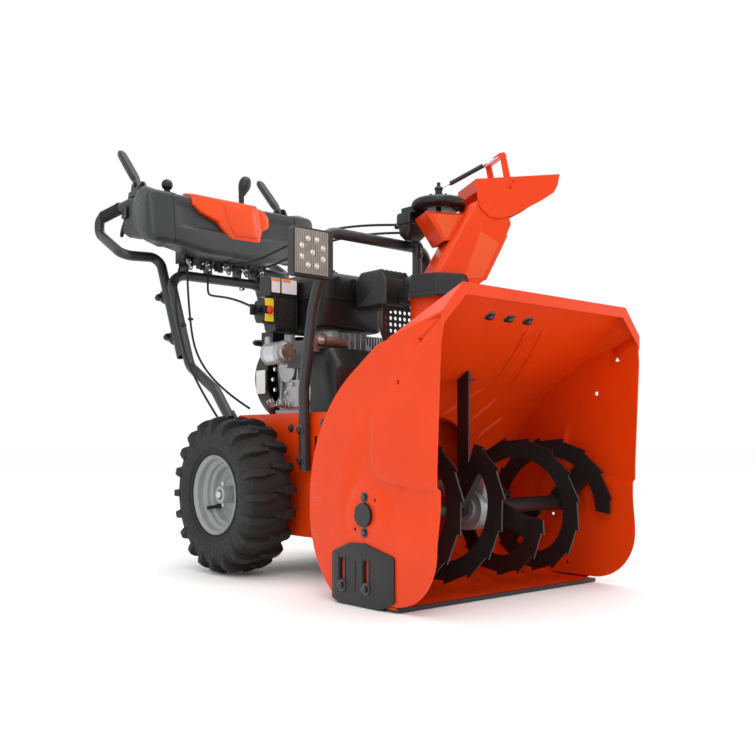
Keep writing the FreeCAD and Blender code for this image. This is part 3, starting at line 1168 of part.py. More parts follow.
def console_parts():
    """Hollow console with its centre cover, mechanism bracket, levers, paddles and triggers."""
    half = D["console_half"]
    outer_corners = (
        (402, 858, 14), (418, 998, 20), (520, 1018, 24), (606, 996, 26), (596, 906, 30), (480, 862, 10))
    inner_corners = (
        (406, 852), (422, 994, 16), (519, 1013.5, 20), (601, 992, 22), (591, 900, 8), (480, 840))
    outer = plate("console_outer", "YZ", outer_corners, -half, 2 * half)
    inner = plate("console_inner", "YZ", inner_corners, -half + 4, 2 * half - 8)
    chin = plate("console_chin", "YZ", (
        (372, 838, 14), (404, 880), (480, 864), (470, 836, 10)), -110, 230)
    chin_void = plate("console_chin_void", "YZ", (
        (378, 834), (409, 876), (474, 860), (464, 830)), -106, 222)
    slot = box("console_slot", *LEVER_SLOT)
    joystick_hole = cylinder("console_joystick_hole", 22, 80, (-190, 476, 980), AXES["Z"])
    trigger_slots = []
    for side, sign in SIDES:
        middle = sign * TRIGGER_X
        trigger_slots.append(box("trigger_slot_" + side, (middle - 9, 590, 915), (middle + 9, 612, 985)))
    shell = cut("console_shell", fuse("console_solid", [outer, chin]),
                group("console_cuts", [inner, chin_void, slot, joystick_hole] + trigger_slots))
    blocks = []
    for side, sign in SIDES:
        low = (min(sign * 226, sign * 254), 520, 1000)
        high = (max(sign * 226, sign * 254), 566, 1052)
        blocks.append(box("paddle_block_" + side, low, high))
    gaps = []
    for side, sign in SIDES:
        low = (min(sign * 232, sign * 248), 515, 1018)
        high = (max(sign * 232, sign * 248), 600, 1060)
        gaps.append(box("paddle_gap_" + side, low, high))
        gaps.append(cylinder("paddle_hole_" + side, 4 + D["running_gap"], 60,
                             (sign * 240 - 30, 546, 1038), AXES["X"]))
    yokes = cut("paddle_yokes", group("paddle_blocks", blocks), group("paddle_gaps", gaps))
    node("console_body", fuse("console_all", [shell, yokes]))

    face = plate("cover_face", "XZ", (
        (-151, 1024, 4), (76, 1024, 4), (106, 990, 10), (110, 948, 10), (68, 890, 8),
        (-30, 888, 8), (-72, 936, 8), (-124, 956, 8)), 380, 90)
    band = plate("cover_band", "YZ", (
        (394, 862), (411, 1004, 24), (468, 1015), (468, 1008.2), (418.2, 998.4, 20), (402, 862)), -160, 300)
    cover_slot = box("cover_slot", *LEVER_SLOT)
    node("console_cover", cut("cover_slotted", common("cover_skin", face, band), cover_slot))

    bracket = plate("bracket_plate", "YZ", (
        (440, 855), (566, 881), (566, 884), (440, 858)), -150, 300)
    hangers = [box("bracket_hanger_%d" % x, (x, 492, 800), (x + 4, 536, 874)) for x in (-120, -40, 60, 116)]
    rollers = [cylinder("bracket_roller_%d" % x, 9, 70, (x, 470, 838), AXES["X"]) for x in (-116, 30)]
    saddle = cylinder("bracket_saddle", 14.2, 400, (-200, 514, 795), AXES["X"])
    links = []
    for x in (-140, -90, -20, 20, 90, 128):
        links.append(box("bracket_link_%d" % x, (x, 462, 826), (x + 5, 520, 866)))
    bracket_all = cut("bracket", fuse("bracket_fused", [bracket] + hangers + rollers + links), saddle)

    for side, sign in SIDES:
        base = V(sign * GRIP_X, 546, 1038)
        turn = FreeCAD.Rotation(V(1, 0, 0), 46)
        pieces = [
            box("paddle_arm_" + side, (-7, -6, -7), (7, 60, 7)),
            box("paddle_blade_" + side, (-13, 40, -8), (13, D["paddle_length"] - 10, 8)),
        ]
        tip = cylinder("paddle_tip_" + side, 13, 16, (0, D["paddle_length"] - 14, -8), AXES["Z"])
        pieces.append(tip)
        for piece in pieces:
            piece.Placement = FreeCAD.Placement(base, turn).multiply(piece.Placement)
        pieces.append(cylinder("paddle_pin_" + side, 4, 26, tuple(base - V(13, 0, 0)), AXES["X"]))
        node("paddle_" + side, fuse("paddle_solid_" + side, pieces))

    for side, sign in SIDES:
        pivot = V(sign * TRIGGER_X, 588, 962)
        turn = FreeCAD.Rotation(V(1, 0, 0), -42)
        blade = plate("trigger_blade_" + side, "YZ", (
            (-6, -6, 4), (4, -8, 4), (40, -12, 10), (66, -22, 3), (69, -12, 3), (42, 0, 10),
            (-2, 7, 4)), -6, 12)
        blade.Placement = FreeCAD.Placement(pivot, turn)
        pin = cylinder("trigger_pin_" + side, 3, 24, tuple(pivot - V(12, 0, 0)), AXES["X"])
        node("trigger_" + side, fuse("trigger_solid_" + side, [blade, pin]))
    knob = [
        cone("lever_knob_low", 9, 18, 26, (0, 0, 0), AXES["Z"]),
        cone("lever_knob_high", 18, 15, 20, (0, 0, 26), AXES["Z"]),
        sphere("lever_knob_top", 15, (0, 0, 46)),
    ]
    knob_lean = FreeCAD.Placement(V(50, 470, 1044), FreeCAD.Rotation(V(0, 1, 0), LEVER_LEAN))
    for piece in knob:
        piece.Placement = knob_lean.multiply(piece.Placement)
    stick = fuse("lever_solid", [
        cylinder("lever_rod", 6, 104, (50, 470, 950), AXES["Z"]),
        cylinder("lever_hub", 12, 16, (42, 470, 950), AXES["X"]),
    ] + knob)
    lever_bore = cylinder("lever_bore", 5.06, 60, (20, 470, 950), AXES["X"])
    node("speed_lever", cut("lever_cut", stick, lever_bore))
    node("control_bracket", bracket_all, fuse("pivot_all", [
        cylinder("pivot_rod", 5, 60, (20, 470, 950), AXES["X"]),
        box("pivot_ear_a", (66, 458, 900), (70, 482, 964)),
        box("pivot_ear_b", (28, 458, 900), (32, 482, 964)),
        box("pivot_base", (28, 458, 848), (70, 482, 902)),
        box("joy_base", (-206, 462, 940), (-174, 490, 950)),
        box("joy_post_a", (-206, 462, 946), (-174, 465, 972)),
        box("joy_post_b", (-206, 487, 946), (-174, 490, 972)),
        cylinder("joy_rod", 4, 28, (-190, 462, 964), AXES["Y"]),
        box("joy_leg", (-206, 484, 864), (-174, 490, 946))]))
    joystick = fuse("joystick_all", [
        cylinder("joystick_rod", 6, 66, (-190, 476, 958), AXES["Z"]),
        cylinder("joystick_hub", 9, 16, (-190, 468, 964), AXES["Y"]),
        cylinder("joystick_collar", 9, 10, (-190, 476, 1012), AXES["Z"]),
        sphere("joystick_ball", 16, (-190, 476, 1034))])
    node("chute_joystick", cut("joystick_cut", joystick,
                               cylinder("joystick_bore", 4.06, 60, (-190, 450, 964), AXES["Y"])))


def light_parts():
    """Work light: finned housing on a side pivot and its lens."""
    body = box("light_box", (-287, -258, 674), (-189, -232, 780))
    fins = []
    for i in range(9):
        fins.append(box("light_fin_%d" % i, (-284, -233, 680 + 12 * i), (-192, -214, 684 + 12 * i)))
    core = box("light_core", (-262, -233, 700), (-214, -222, 754))
    pin = cylinder("light_pin", 5, 18, (-196, -232, 727), AXES["X"])
    side = box("light_ear", (-190, -242, 717), (-185, -222, 737))
    recess = box("light_recess", (-283, -270, 678), (-193, -254, 776))
    node("light_head", cut("light_body", fuse("light_all", [body, core, pin, side] + fins), recess))
    lens = box("lens_plate", (-282.5, -257.5, 678.5), (-193.5, -254.2, 775.5))
    leds = []
    for i in range(8):
        angle = math.radians(45 * i + 22.5)
        place = (-238 + 29 * math.cos(angle), -261, 727 + 29 * math.sin(angle))
        leds.append(cylinder("led_%d" % i, 6, 4, place, AXES["Y"]))
    leds.append(cylinder("led_centre", 6, 4, (-238, -261, 727), AXES["Y"]))
    node("light_lens", fuse("lens_all", [lens] + leds))


def cable_parts():
    """Control cables from the console to the chassis, the engine and the rotator head."""
    r = "Dims.cable_radius"
    runs = (
        ("cable_traction", ((-128, 470, 826), (-140, 452, 760), (-141, 436, 660), (-142, 410, 560),
                            (-140, 300, 470), (-120, 210, 420), (-112, 178.5, 404))),
        ("cable_auger", ((128, 470, 826), (140, 452, 760), (141, 436, 660), (142, 410, 560),
                         (140, 300, 470), (120, 210, 420), (112, 178.5, 404))),
        ("cable_throttle", ((-60, 470, 826), (-90, 430, 742), (-140, 340, 712), (-150, 240, 700),
                            (-152, 120, 694), (-150, 60, 692), (-150, 18, 690))),
        ("cable_chute_a", ((-20, 462, 838), (0, 380, 812), (30, 240, 850), (50, 60, 880),
                           (70, -100, 862), (72, -209, 842))),
        ("cable_chute_b", ((20, 462, 832), (40, 380, 800), (62, 240, 830), (76, 60, 858),
                           (94, -100, 845), (92, -209, 826))),
        ("cable_wheel_right", ((-140, 486, 826), (-180, 470, 740), (-190, 400, 560), (-176, 280, 420),
                               (-160, 200, 330), (-151, 150, 300))),
    )
    node("control_cables", group("cables", [rod(name, points, r) for name, points in runs]))


def fastener_parts():
    """Visible bolts of the housing, chassis and skid shoes."""
    pieces = []
    roof_normal = V(0, -0.5, -0.85)
    for x in (-112, -56, 0):
        seat = (x, -660, roof_height(-660) - 4.5)
        pieces.append(bolt("roof_bolt_%d" % x, seat, V(roof_normal), 13, 6, 1.5))
    for side, sign in SIDES:
        out = V(sign, 0, 0)
        for y in (-454, -526):
            seat = (sign * (D["housing_half"] + D["skid_t"] + 0.9), y, 37)
            pieces.append(bolt("skid_bolt_%s_%d" % (side, y), seat, V(out), 13, 7, 2, 15))
        for along, up in BEARING_BOLTS:
            seat = (sign * D["housing_half"], D["auger_y"] + along, D["auger_z"] + up)
            pieces.append(bolt("bearing_bolt_%s_%d" % (side, up), seat, V(out), 11, 5, 1.2))
        for y, z in ((-185, 360), (-185, 130), (-60, 350), (130, 130), (-30, 130)):
            seat = (sign * D["frame_half"], y, z)
            pieces.append(bolt("frame_bolt_%s_%d_%d" % (side, y, z), seat, V(out), 11, 5, 1.2))
        for y, z in ((-133.5, 275), (-132, 345)):
            pieces.append(bolt("bar_bolt_%s_%d" % (side, z), (sign * 177.7, y, z), V(out), 13, 6, 1.5, 27))
        for y, z in ((126, 306.4), (163, 346)):
            seat = (sign * (D["frame_half"] + 0.3 + FOOT_THICKNESS), y, z)
            pieces.append(bolt("leg_bolt_%s_%d" % (side, y), seat, V(out), 13, 6, 1.5, 12))
    node("fasteners", group("bolts", pieces))


# ---------------------------------------------------------------- make it all

def check_and_export():
    """Recompute, refuse anything broken, and write one STEP file per sub-part."""
    DOC.recompute()
    for obj in DOC.Objects:
        state = set(obj.State)
        if "Invalid" in state or "Error" in state:
            raise RuntimeError("feature failed: " + obj.Name)
    os.makedirs("parts", exist_ok=True)
    for label, obj in NODES.items():
        shape = obj.Shape
        if shape.isNull() or not shape.isValid() or not shape.Solids:
            raise RuntimeError("bad shape: " + label)
        shape.exportStep("parts/" + label + ".step")
        bounds = shape.optimalBoundingBox()
        print("%-22s solids %2d volume %9.0f  X %7.1f %7.1f  Y %7.1f %7.1f  Z %7.1f %7.1f" % (
            label, len(shape.Solids), shape.Volume, bounds.XMin, bounds.XMax,
            bounds.YMin, bounds.YMax, bounds.ZMin, bounds.ZMax))
    print(len(NODES), "sub-parts")


fill_sheet()
auger_housing()
gearbox_parts()
auger_parts()
auger_bearing_parts()
impeller_parts()
skid_shoes()
chassis_parts()
final_drive()
wheel_parts()
engine_parts()
chute_parts()
handle_parts()
console_parts()
light_parts()
cable_parts()
fastener_parts()
check_and_export()
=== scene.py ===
"""Two stage snowblower: the visual model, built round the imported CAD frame."""
import json
import math

import bmesh
import bpy
from mathutils import Matrix, Vector
from mathutils.bvhtree import BVHTree


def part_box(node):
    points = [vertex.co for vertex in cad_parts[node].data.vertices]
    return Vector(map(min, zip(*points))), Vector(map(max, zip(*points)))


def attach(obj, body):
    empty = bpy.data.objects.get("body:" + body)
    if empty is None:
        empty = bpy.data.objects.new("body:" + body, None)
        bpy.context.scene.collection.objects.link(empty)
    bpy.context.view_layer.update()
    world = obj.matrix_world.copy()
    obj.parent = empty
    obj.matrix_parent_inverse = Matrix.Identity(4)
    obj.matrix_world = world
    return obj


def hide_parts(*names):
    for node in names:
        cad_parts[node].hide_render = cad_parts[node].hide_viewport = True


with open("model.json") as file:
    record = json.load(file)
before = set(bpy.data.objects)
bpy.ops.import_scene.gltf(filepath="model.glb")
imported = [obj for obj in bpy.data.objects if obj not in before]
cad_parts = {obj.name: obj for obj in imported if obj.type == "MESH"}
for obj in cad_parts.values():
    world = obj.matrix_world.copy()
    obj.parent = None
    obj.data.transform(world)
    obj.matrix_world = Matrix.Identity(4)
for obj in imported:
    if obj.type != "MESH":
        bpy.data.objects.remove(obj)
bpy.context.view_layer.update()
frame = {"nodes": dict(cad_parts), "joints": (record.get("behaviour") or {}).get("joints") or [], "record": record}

MM = 0.001
MID_X = -18.9 * MM          # the machine's own middle plane in the row frame
SIDES = (("right", -1), ("left", 1))


# ---------------------------------------------------------------- materials

class Nodes:
    """A small helper that wires up one material's node tree."""

    def __init__(self, name):
        self.material = bpy.data.materials.new(name)
        self.material.use_nodes = True
        self.tree = self.material.node_tree
        self.shader = self.tree.nodes["Principled BSDF"]
        self.place = self.add("ShaderNodeTexCoord").outputs["Object"]

    def add(self, kind, **values):
        item = self.tree.nodes.new(kind)
        for key, value in values.items():
            if key in item.inputs:
                item.inputs[key].default_value = value
            else:
                setattr(item, key, value)
        return item

    def link(self, source, target):
        self.tree.links.new(source, target)

    def noise(self, scale, detail=4.0, rough=0.55, stretch=None):
        """Noise in object space; stretch scales the axes first, for a brushed grain."""
        item = self.add("ShaderNodeTexNoise", Scale=scale, Detail=detail, Roughness=rough)
        self.link(self.stretched(stretch), item.inputs["Vector"])
        return item.outputs["Fac"]

    def cells(self, scale):
        item = self.add("ShaderNodeTexVoronoi", Scale=scale)
        self.link(self.place, item.inputs["Vector"])
        return item.outputs["Distance"]

    def stretched(self, stretch):
        if stretch is None:
            return self.place
        item = self.add("ShaderNodeMapping", Scale=stretch)
        self.link(self.place, item.inputs["Vector"])
        return item.outputs["Vector"]

    def ramp(self, source, low, high, from_low=0.35, from_high=0.65):
        item = self.add("ShaderNodeMapRange")
        for key, value in (("From Min", from_low), ("From Max", from_high), ("To Min", low),
                           ("To Max", high)):
            item.inputs[key].default_value = value
        self.link(source, item.inputs["Value"])
        return item.outputs["Result"]

    def mix(self, factor, first, second):
        """Colour mix; first and second are colours or sockets."""
        item = self.add("ShaderNodeMix", data_type="RGBA")
        self.link(factor, item.inputs["Factor"])
        for key, value in (("A", first), ("B", second)):
            socket = [s for s in item.inputs if s.name == key and s.type == "RGBA"][0]
            if isinstance(value, (tuple, list)):
                socket.default_value = (*value[:3], 1.0)
            else:
                self.link(value, socket)
        return [s for s in item.outputs if s.type == "RGBA"][0]

    def bump(self, layers):
        """Chain of bumps; each layer is (height socket, strength, distance in metres)."""
        normal = None
        for height, strength, distance in layers:
            item = self.add("ShaderNodeBump", Strength=strength, Distance=distance)
            self.link(height, item.inputs["Height"])
            if normal is not None:
                self.link(normal, item.inputs["Normal"])
            normal = item.outputs["Normal"]
        self.link(normal, self.shader.inputs["Normal"])

    def height_fade(self, low, high):
        """0 below the low height and 1 above the high one, in metres."""
        split = self.add("ShaderNodeSeparateXYZ")
        self.link(self.place, split.inputs["Vector"])
        return self.ramp(split.outputs["Z"], 0.0, 1.0, low, high)

    def finish(self, colour, rough, metallic=0.0, coat=0.0, specular=0.5):
        self.link(colour, self.shader.inputs["Base Color"])
        self.link(rough, self.shader.inputs["Roughness"])
        self.shader.inputs["Metallic"].default_value = metallic
        self.shader.inputs["Coat Weight"].default_value = coat
        self.shader.inputs["Coat Roughness"].default_value = 0.12
        self.shader.inputs["Specular IOR Level"].default_value = specular
        return self.material


def paint(name, colour, rough=0.36, coat=0.06, grime=0.1):
    """Baked paint: slight tone drift, orange peel, and a little dust low down."""
    n = Nodes(name)
    drift = n.ramp(n.noise(9.0, 3.0), 0.0, 1.0)
    toned = n.mix(drift, colour, [c * 0.93 for c in colour])
    dust_line = n.height_fade(0.30, 0.02)
    dust_patch = n.ramp(n.noise(38.0, 6.0, 0.65), 0.0, grime, 0.42, 0.72)
    product = n.add("ShaderNodeMath", operation="MULTIPLY")
    n.link(dust_line, product.inputs[0])
    n.link(dust_patch, product.inputs[1])
    dusty = n.mix(product.outputs[0], toned, (0.30, 0.11, 0.05))
    n.bump([(n.noise(420.0, 2.0), 0.10, 0.0006), (n.noise(26.0, 2.0), 0.05, 0.002)])
    return n.finish(dusty, n.ramp(n.noise(60.0, 5.0), rough * 0.9, rough * 1.12), 0.0, coat, 0.22)


def powder(name, colour, rough=0.42, grain=900.0):
    """Powder coat: fine pebbled skin with a soft sheen."""
    n = Nodes(name)
    toned = n.mix(n.ramp(n.noise(14.0, 4.0), 0.0, 1.0), colour, [c * 1.15 for c in colour])
    n.bump([(n.noise(grain, 3.0), 0.28, 0.0005)])
    return n.finish(toned, n.ramp(n.noise(120.0, 5.0), rough * 0.85, rough * 1.2))


def plastic(name, colour, rough=0.5, grain=1300.0, strength=0.3, scuff=0.15, specular=0.4):
    """Moulded plastic: leathery spark grain, with faint paler scuffs."""
    n = Nodes(name)
    scuffs = n.ramp(n.noise(75.0, 8.0, 0.7, (1.0, 3.0, 1.0)), 0.0, scuff, 0.55, 0.8)
    toned = n.mix(scuffs, colour, [min(1.0, c * 1.35 + 0.002) for c in colour])
    n.bump([(n.cells(grain), strength, 0.0003), (n.noise(30.0, 2.0), 0.04, 0.002)])
    return n.finish(toned, n.ramp(n.noise(90.0, 4.0), rough * 0.85, rough * 1.15), 0.0, 0.0, specular)


def rubber(name, colour, dusty=0.35):
    """Dull rubber with fine wrinkles and dust in the hollows."""
    n = Nodes(name)
    dust = n.ramp(n.noise(55.0, 8.0, 0.7), 0.0, dusty, 0.5, 0.78)
    toned = n.mix(dust, colour, [c * 2.2 for c in colour])
    n.bump([(n.noise(700.0, 4.0), 0.35, 0.0005), (n.noise(90.0, 3.0), 0.12, 0.0012)])
    return n.finish(toned, n.ramp(n.noise(140.0, 5.0), 0.62, 0.85), 0.0, 0.0, 0.35)


def cast_metal(name, colour, rough=0.45, metallic=0.85):
    """Sand-cast or die-cast metal: pitted skin with darker pores."""
    n = Nodes(name)
    pores = n.ramp(n.cells(520.0), 1.0, 0.0, 0.05, 0.35)
    toned = n.mix(pores, colour, [c * 0.55 for c in colour])
    blotched = n.mix(n.ramp(n.noise(24.0, 5.0), 0.0, 0.4), toned, [c * 0.7 for c in colour])
    n.bump([(n.noise(380.0, 5.0), 0.4, 0.0007)])
    return n.finish(blotched, n.ramp(n.noise(70.0, 5.0), rough * 0.8, rough * 1.3), metallic)


def brushed(name, colour, rough=0.3, stretch=(60.0, 1.0, 1.0)):
    """Drawn or turned steel with a fine directional grain."""
    n = Nodes(name)
    grain = n.noise(40.0, 6.0, 0.7, stretch)
    toned = n.mix(n.ramp(grain, 0.0, 1.0), colour, [c * 0.72 for c in colour])
    n.bump([(grain, 0.12, 0.0003)])
    return n.finish(toned, n.ramp(n.noise(50.0, 4.0), rough * 0.75, rough * 1.35), 1.0)


def zinc(name, colour, rough=0.35):
    """Plated hardware: small spangle patches."""
    n = Nodes(name)
    spangle = n.ramp(n.cells(260.0), 0.0, 1.0, 0.1, 0.7)
    toned = n.mix(spangle, colour, [c * 1.5 for c in colour])
    n.bump([(n.noise(600.0, 3.0), 0.2, 0.0003)])
    return n.finish(toned, n.ramp(n.noise(200.0, 4.0), rough * 0.7, rough * 1.3), 0.9)


def heated_steel(name):
    """Manifold steel, browned by heat in patches."""
    n = Nodes(name)
    patches = n.ramp(n.noise(60.0, 6.0, 0.6), 0.0, 1.0)
    toned = n.mix(patches, (0.17, 0.085, 0.06), (0.30, 0.20, 0.17))
    n.bump([(n.noise(420.0, 5.0), 0.5, 0.0007)])
    return n.finish(toned, n.ramp(n.noise(80.0, 5.0), 0.45, 0.7), 0.6)


def lens_glass(name):
    """Smoky ribbed lens over a pale reflector."""
    n = Nodes(name)
    ribs = n.add("ShaderNodeTexWave", wave_type="BANDS", bands_direction="X", Scale=62.0, Distortion=0.0)
    n.link(n.place, ribs.inputs["Vector"])
    toned = n.mix(ribs.outputs["Fac"], (0.10, 0.085, 0.07), (0.34, 0.31, 0.27))
    cloud = n.mix(n.ramp(n.noise(30.0, 4.0), 0.0, 0.3), toned, (0.42, 0.39, 0.35))
    n.bump([(ribs.outputs["Fac"], 0.6, 0.0012)])
    return n.finish(cloud, n.ramp(n.noise(200.0, 3.0), 0.12, 0.22), 0.15, 0.4)


ORANGE = (0.74, 0.047, 0.0015)
MATERIALS = {
    "orange_paint": paint("orange_paint", ORANGE),
    "black_paint": powder("black_paint", (0.010, 0.010, 0.0105), 0.38, 700.0),
    "grey_paint": powder("grey_paint", (0.020, 0.021, 0.022), 0.34, 1000.0),
    "black_plastic": plastic("black_plastic", (0.0075, 0.0075, 0.0078), 0.36),
    "console_plastic": plastic("console_plastic", (0.028, 0.0295, 0.031), 0.38, 1500.0, 0.22),
    "cover_plastic": paint("cover_plastic", (0.80, 0.060, 0.0015), 0.2, 0.35, 0.0),
    "knob_plastic": plastic("knob_plastic", (0.010, 0.0103, 0.0107), 0.3, 1600.0, 0.15),
    "tyre_rubber": rubber("tyre_rubber", (0.017, 0.017, 0.0172), 0.2),
    "belt_rubber": rubber("belt_rubber", (0.010, 0.010, 0.010), 0.3),
    "silver_rim": powder("silver_rim", (0.27, 0.28, 0.28), 0.33, 1100.0),
    "gearbox_metal": cast_metal("gearbox_metal", (0.50, 0.51, 0.52), 0.42, 0.7),
    "engine_metal": cast_metal("engine_metal", (0.46, 0.465, 0.47), 0.42, 0.75),
    "pulley_metal": brushed("pulley_metal", (0.55, 0.56, 0.57), 0.32, (1.0, 40.0, 1.0)),
    "shaft_steel": brushed("shaft_steel", (0.47, 0.47, 0.47), 0.3),
    "muffler_steel": powder("muffler_steel", (0.013, 0.013, 0.0135), 0.45, 500.0),
    "zinc_bolts": zinc("zinc_bolts", (0.075, 0.075, 0.078)),
    "bronze": brushed("bronze", (0.55, 0.36, 0.16), 0.3),
    "clear_lens": lens_glass("clear_lens"),
    "light_casting": powder("light_casting", (0.012, 0.0125, 0.013), 0.42, 650.0),
    "spring_steel": zinc("spring_steel", (0.045, 0.045, 0.047), 0.3),
    "manifold": heated_steel("manifold"),
    "silver_zinc": zinc("silver_zinc", (0.42, 0.42, 0.43), 0.28),
    "label_white": plastic("label_white", (0.72, 0.72, 0.70), 0.35, 1800.0, 0.08, 0.1),
    "label_orange": plastic("label_orange", (0.85, 0.22, 0.04), 0.35, 1800.0, 0.08, 0.1),
    "label_yellow": plastic("label_yellow", (0.80, 0.62, 0.03), 0.35, 1800.0, 0.08, 0.1),
    "red_knob": plastic("red_knob", (0.62, 0.03, 0.02), 0.3, 1500.0, 0.12, 0.1),
    "reflector": zinc("reflector", (0.55, 0.52, 0.46), 0.12),
    "pale_orange": paint("pale_orange", (0.74, 0.095, 0.018), 0.4, 0.05, 0.0),
    "skid_plastic": plastic("skid_plastic", (0.016, 0.016, 0.0165), 0.42),
}


def dress_cad_nodes():
    """Gives every carried-over CAD node the detailed version of its own material slot."""
    slots = {part["node"]: part["material_slot"] for part in frame["record"]["subparts"]}
    for label, obj in frame["nodes"].items():
        obj.data.materials.clear()
        obj.data.materials.append(MATERIALS[slots[label]])


# ------------------------------------------------------------- mesh helpers
# Pieces are drawn in millimetres in the machine's own frame, middle plane at X 0.

TO_ROW = Matrix.Translation((MID_X, 0.0, 0.0)) @ Matrix.Scale(MM, 4)
UP = Vector((0.0, 0.0, 1.0))
ACROSS = Vector((1.0, 0.0, 0.0))
BACK = Vector((0.0, 1.0, 0.0))


def span(label):
    """Lowest and highest corner and the middle of a CAD node, in machine millimetres."""
    low, high = (TO_ROW.inverted() @ Vector(corner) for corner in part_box(label))
    return low, high, (low + high) / 2


def pivot_of(body):
    """Where a body's own joint sits, in machine millimetres."""
    joint = next(joint for joint in frame["joints"] if joint["child"] == body)
    return TO_ROW.inverted() @ Vector(joint["pos_m"])


def cad_build(label):
    """A CAD node's mesh, ready to edit in machine millimetres."""
    build = bmesh.new()
    build.from_mesh(frame["nodes"][label].data)
    bmesh.ops.transform(build, matrix=TO_ROW.inverted(), verts=build.verts)
    return build


def polar(radius, angle, level=0.0):
    """A point round the upright axis, from its radius, angle and height."""
    return Vector((radius * math.cos(angle), radius * math.sin(angle), level))


def smooth_step(value):
    """Eases from 0 to 1."""
    value = max(0.0, min(1.0, value))
    return value * value * (3.0 - 2.0 * value)


def arc_points(corners, steps=5):
    """A closed outline from (a, b) or (a, b, radius) corners, each radius drawn as an arc."""
    points = []
    count = len(corners)
    for i, corner in enumerate(corners):
        here = Vector(corner[:2])
        radius = corner[2] if len(corner) > 2 else 0.0
        before = Vector(corners[i - 1][:2]) - here
        after = Vector(corners[(i + 1) % count][:2]) - here
        if radius <= 0.0:
            points.append(here)
            continue
        half = before.angle(after) / 2
        reach = min(radius / math.tan(half), before.length * 0.49, after.length * 0.49)
        radius = reach * math.tan(half)
        centre = here + (before.normalized() + after.normalized()).normalized() * (radius / math.sin(half))
        start = here + before.normalized() * reach - centre
        swing = start.angle_signed(here + after.normalized() * reach - centre)
        for step in range(steps + 1):
            turn = Matrix.Rotation(-swing * step / steps, 2)
            points.append(centre + turn @ start)
    return points


def lift(points, plane, offset):
    """Puts flat (a, b) points on a YZ, XZ or XY plane at an offset."""
    if plane == "YZ":
        return [Vector((offset, a, b)) for a, b in points]
    if plane == "XZ":
        return [Vector((a, offset, b)) for a, b in points]
    return [Vector((a, b, offset)) for a, b in points]


def loft(build, sections, capped=True, wrapped=False):
    """Skins a run of closed sections that all have the same number of points."""
    rings = [[build.verts.new(point) for point in section] for section in sections]
    pairs = list(zip(rings, rings[1:]))
    if wrapped:
        pairs.append((rings[-1], rings[0]))
    for first, second in pairs:
        for i, corner in enumerate(first):
            build.faces.new((first[i - 1], corner, second[i], second[i - 1]))
    if capped and not wrapped:
        build.faces.new(rings[0])
        build.faces.new(reversed(rings[-1]))


def prism(build, corners, plane, start, depth):
    """A flat outline on a plane, pushed out by a depth."""
    outline = arc_points(corners)
    loft(build, [lift(outline, plane, start), lift(outline, plane, start + depth)])


def rectangle(low, high, radius=0.0):
    """The four corners of an upright rectangle, each with a radius."""
    left, right, bottom, top = low[0], high[0], low[1], high[1]
    return ((left, bottom, radius), (right, bottom, radius), (right, top, radius), (left, top, radius))


def panel(build, low, high, radius, plane="XZ", start=0.0, depth=2.0):
    """A flat bar or plate between two flat corners, with rounded corners."""
    prism(build, rectangle(low, high, radius), plane, start, depth)


def block(build, low, high):
    panel(build, low, high, 0.0, "XY", low[2], high[2] - low[2])


def oval(middle, across, up, count, power=1.0):
    """A closed ring round a middle point; a power under 1 squares it off."""
    ring = []
    for k in range(count):
        angle = 2 * math.pi * k / count
        a, b = (math.copysign(abs(value) ** power, value) for value in (math.cos(angle), math.sin(angle)))
        ring.append(middle + across * a + up * b)
    return ring


def direction(path, i):
    """Unit direction of a path at one of its points."""
    return (path[min(i + 1, len(path) - 1)] - path[max(i - 1, 0)]).normalized()


def facing(axis):
    """Rotation that takes +Z to an axis."""
    return UP.rotation_difference(Vector(axis).normalized()).to_matrix()


def lathe(build, profile, base, axis=UP, steps=48):
    """Spins closed (radius, height) outline points round an axis through a base point."""
    turn = facing(axis)
    base = Vector(base)
    sections = []
    for i in range(steps):
        angle = 2 * math.pi * i / steps
        side = Vector((math.cos(angle), math.sin(angle), 0.0))
        sections.append([base + turn @ (side * max(radius, 0.01) + UP * height)
                         for radius, height in profile])
    loft(build, sections, wrapped=True)


def smooth_path(points, steps=8):
    """Points along a Catmull-Rom curve through the given ones."""
    points = [Vector(p) for p in points]
    last = len(points) - 1
    result = []
    for i in range(last):
        p0, p1, p2, p3 = (points[max(0, min(last, i + k - 1))] for k in range(4))
        for step in range(steps):
            s = step / steps
            result.append(0.5 * ((2 * p1) + (p2 - p0) * s + (2 * p0 - 5 * p1 + 4 * p2 - p3) * s * s
                                 + (3 * p1 - p0 - 3 * p2 + p3) * s ** 3))
    return result + [points[-1]]


def hexagon(build, across, height, base, axis=UP):
    """Hexagon head with a chamfered top."""
    turn = facing(axis)
    base = Vector(base)
    reach = across / math.sqrt(3)
    loft(build, [[base + turn @ polar(reach * scale, math.pi / 3 * i, level) for i in range(6)]
                 for scale, level in ((1.0, 0.0), (1.0, height * 0.78), (0.86, height))])


def new_object(name, data):
    obj = bpy.data.objects.new(name, data)
    bpy.context.scene.collection.objects.link(obj)
    return obj


def row_object(name, build):
    """A finished build, drawn in machine millimetres, as an object in the row frame."""
    bmesh.ops.recalc_face_normals(build, faces=build.faces)
    bmesh.ops.transform(build, matrix=TO_ROW, verts=build.verts)
    mesh = bpy.data.meshes.new(name)
    build.to_mesh(mesh)
    build.free()
    return new_object(name, mesh)


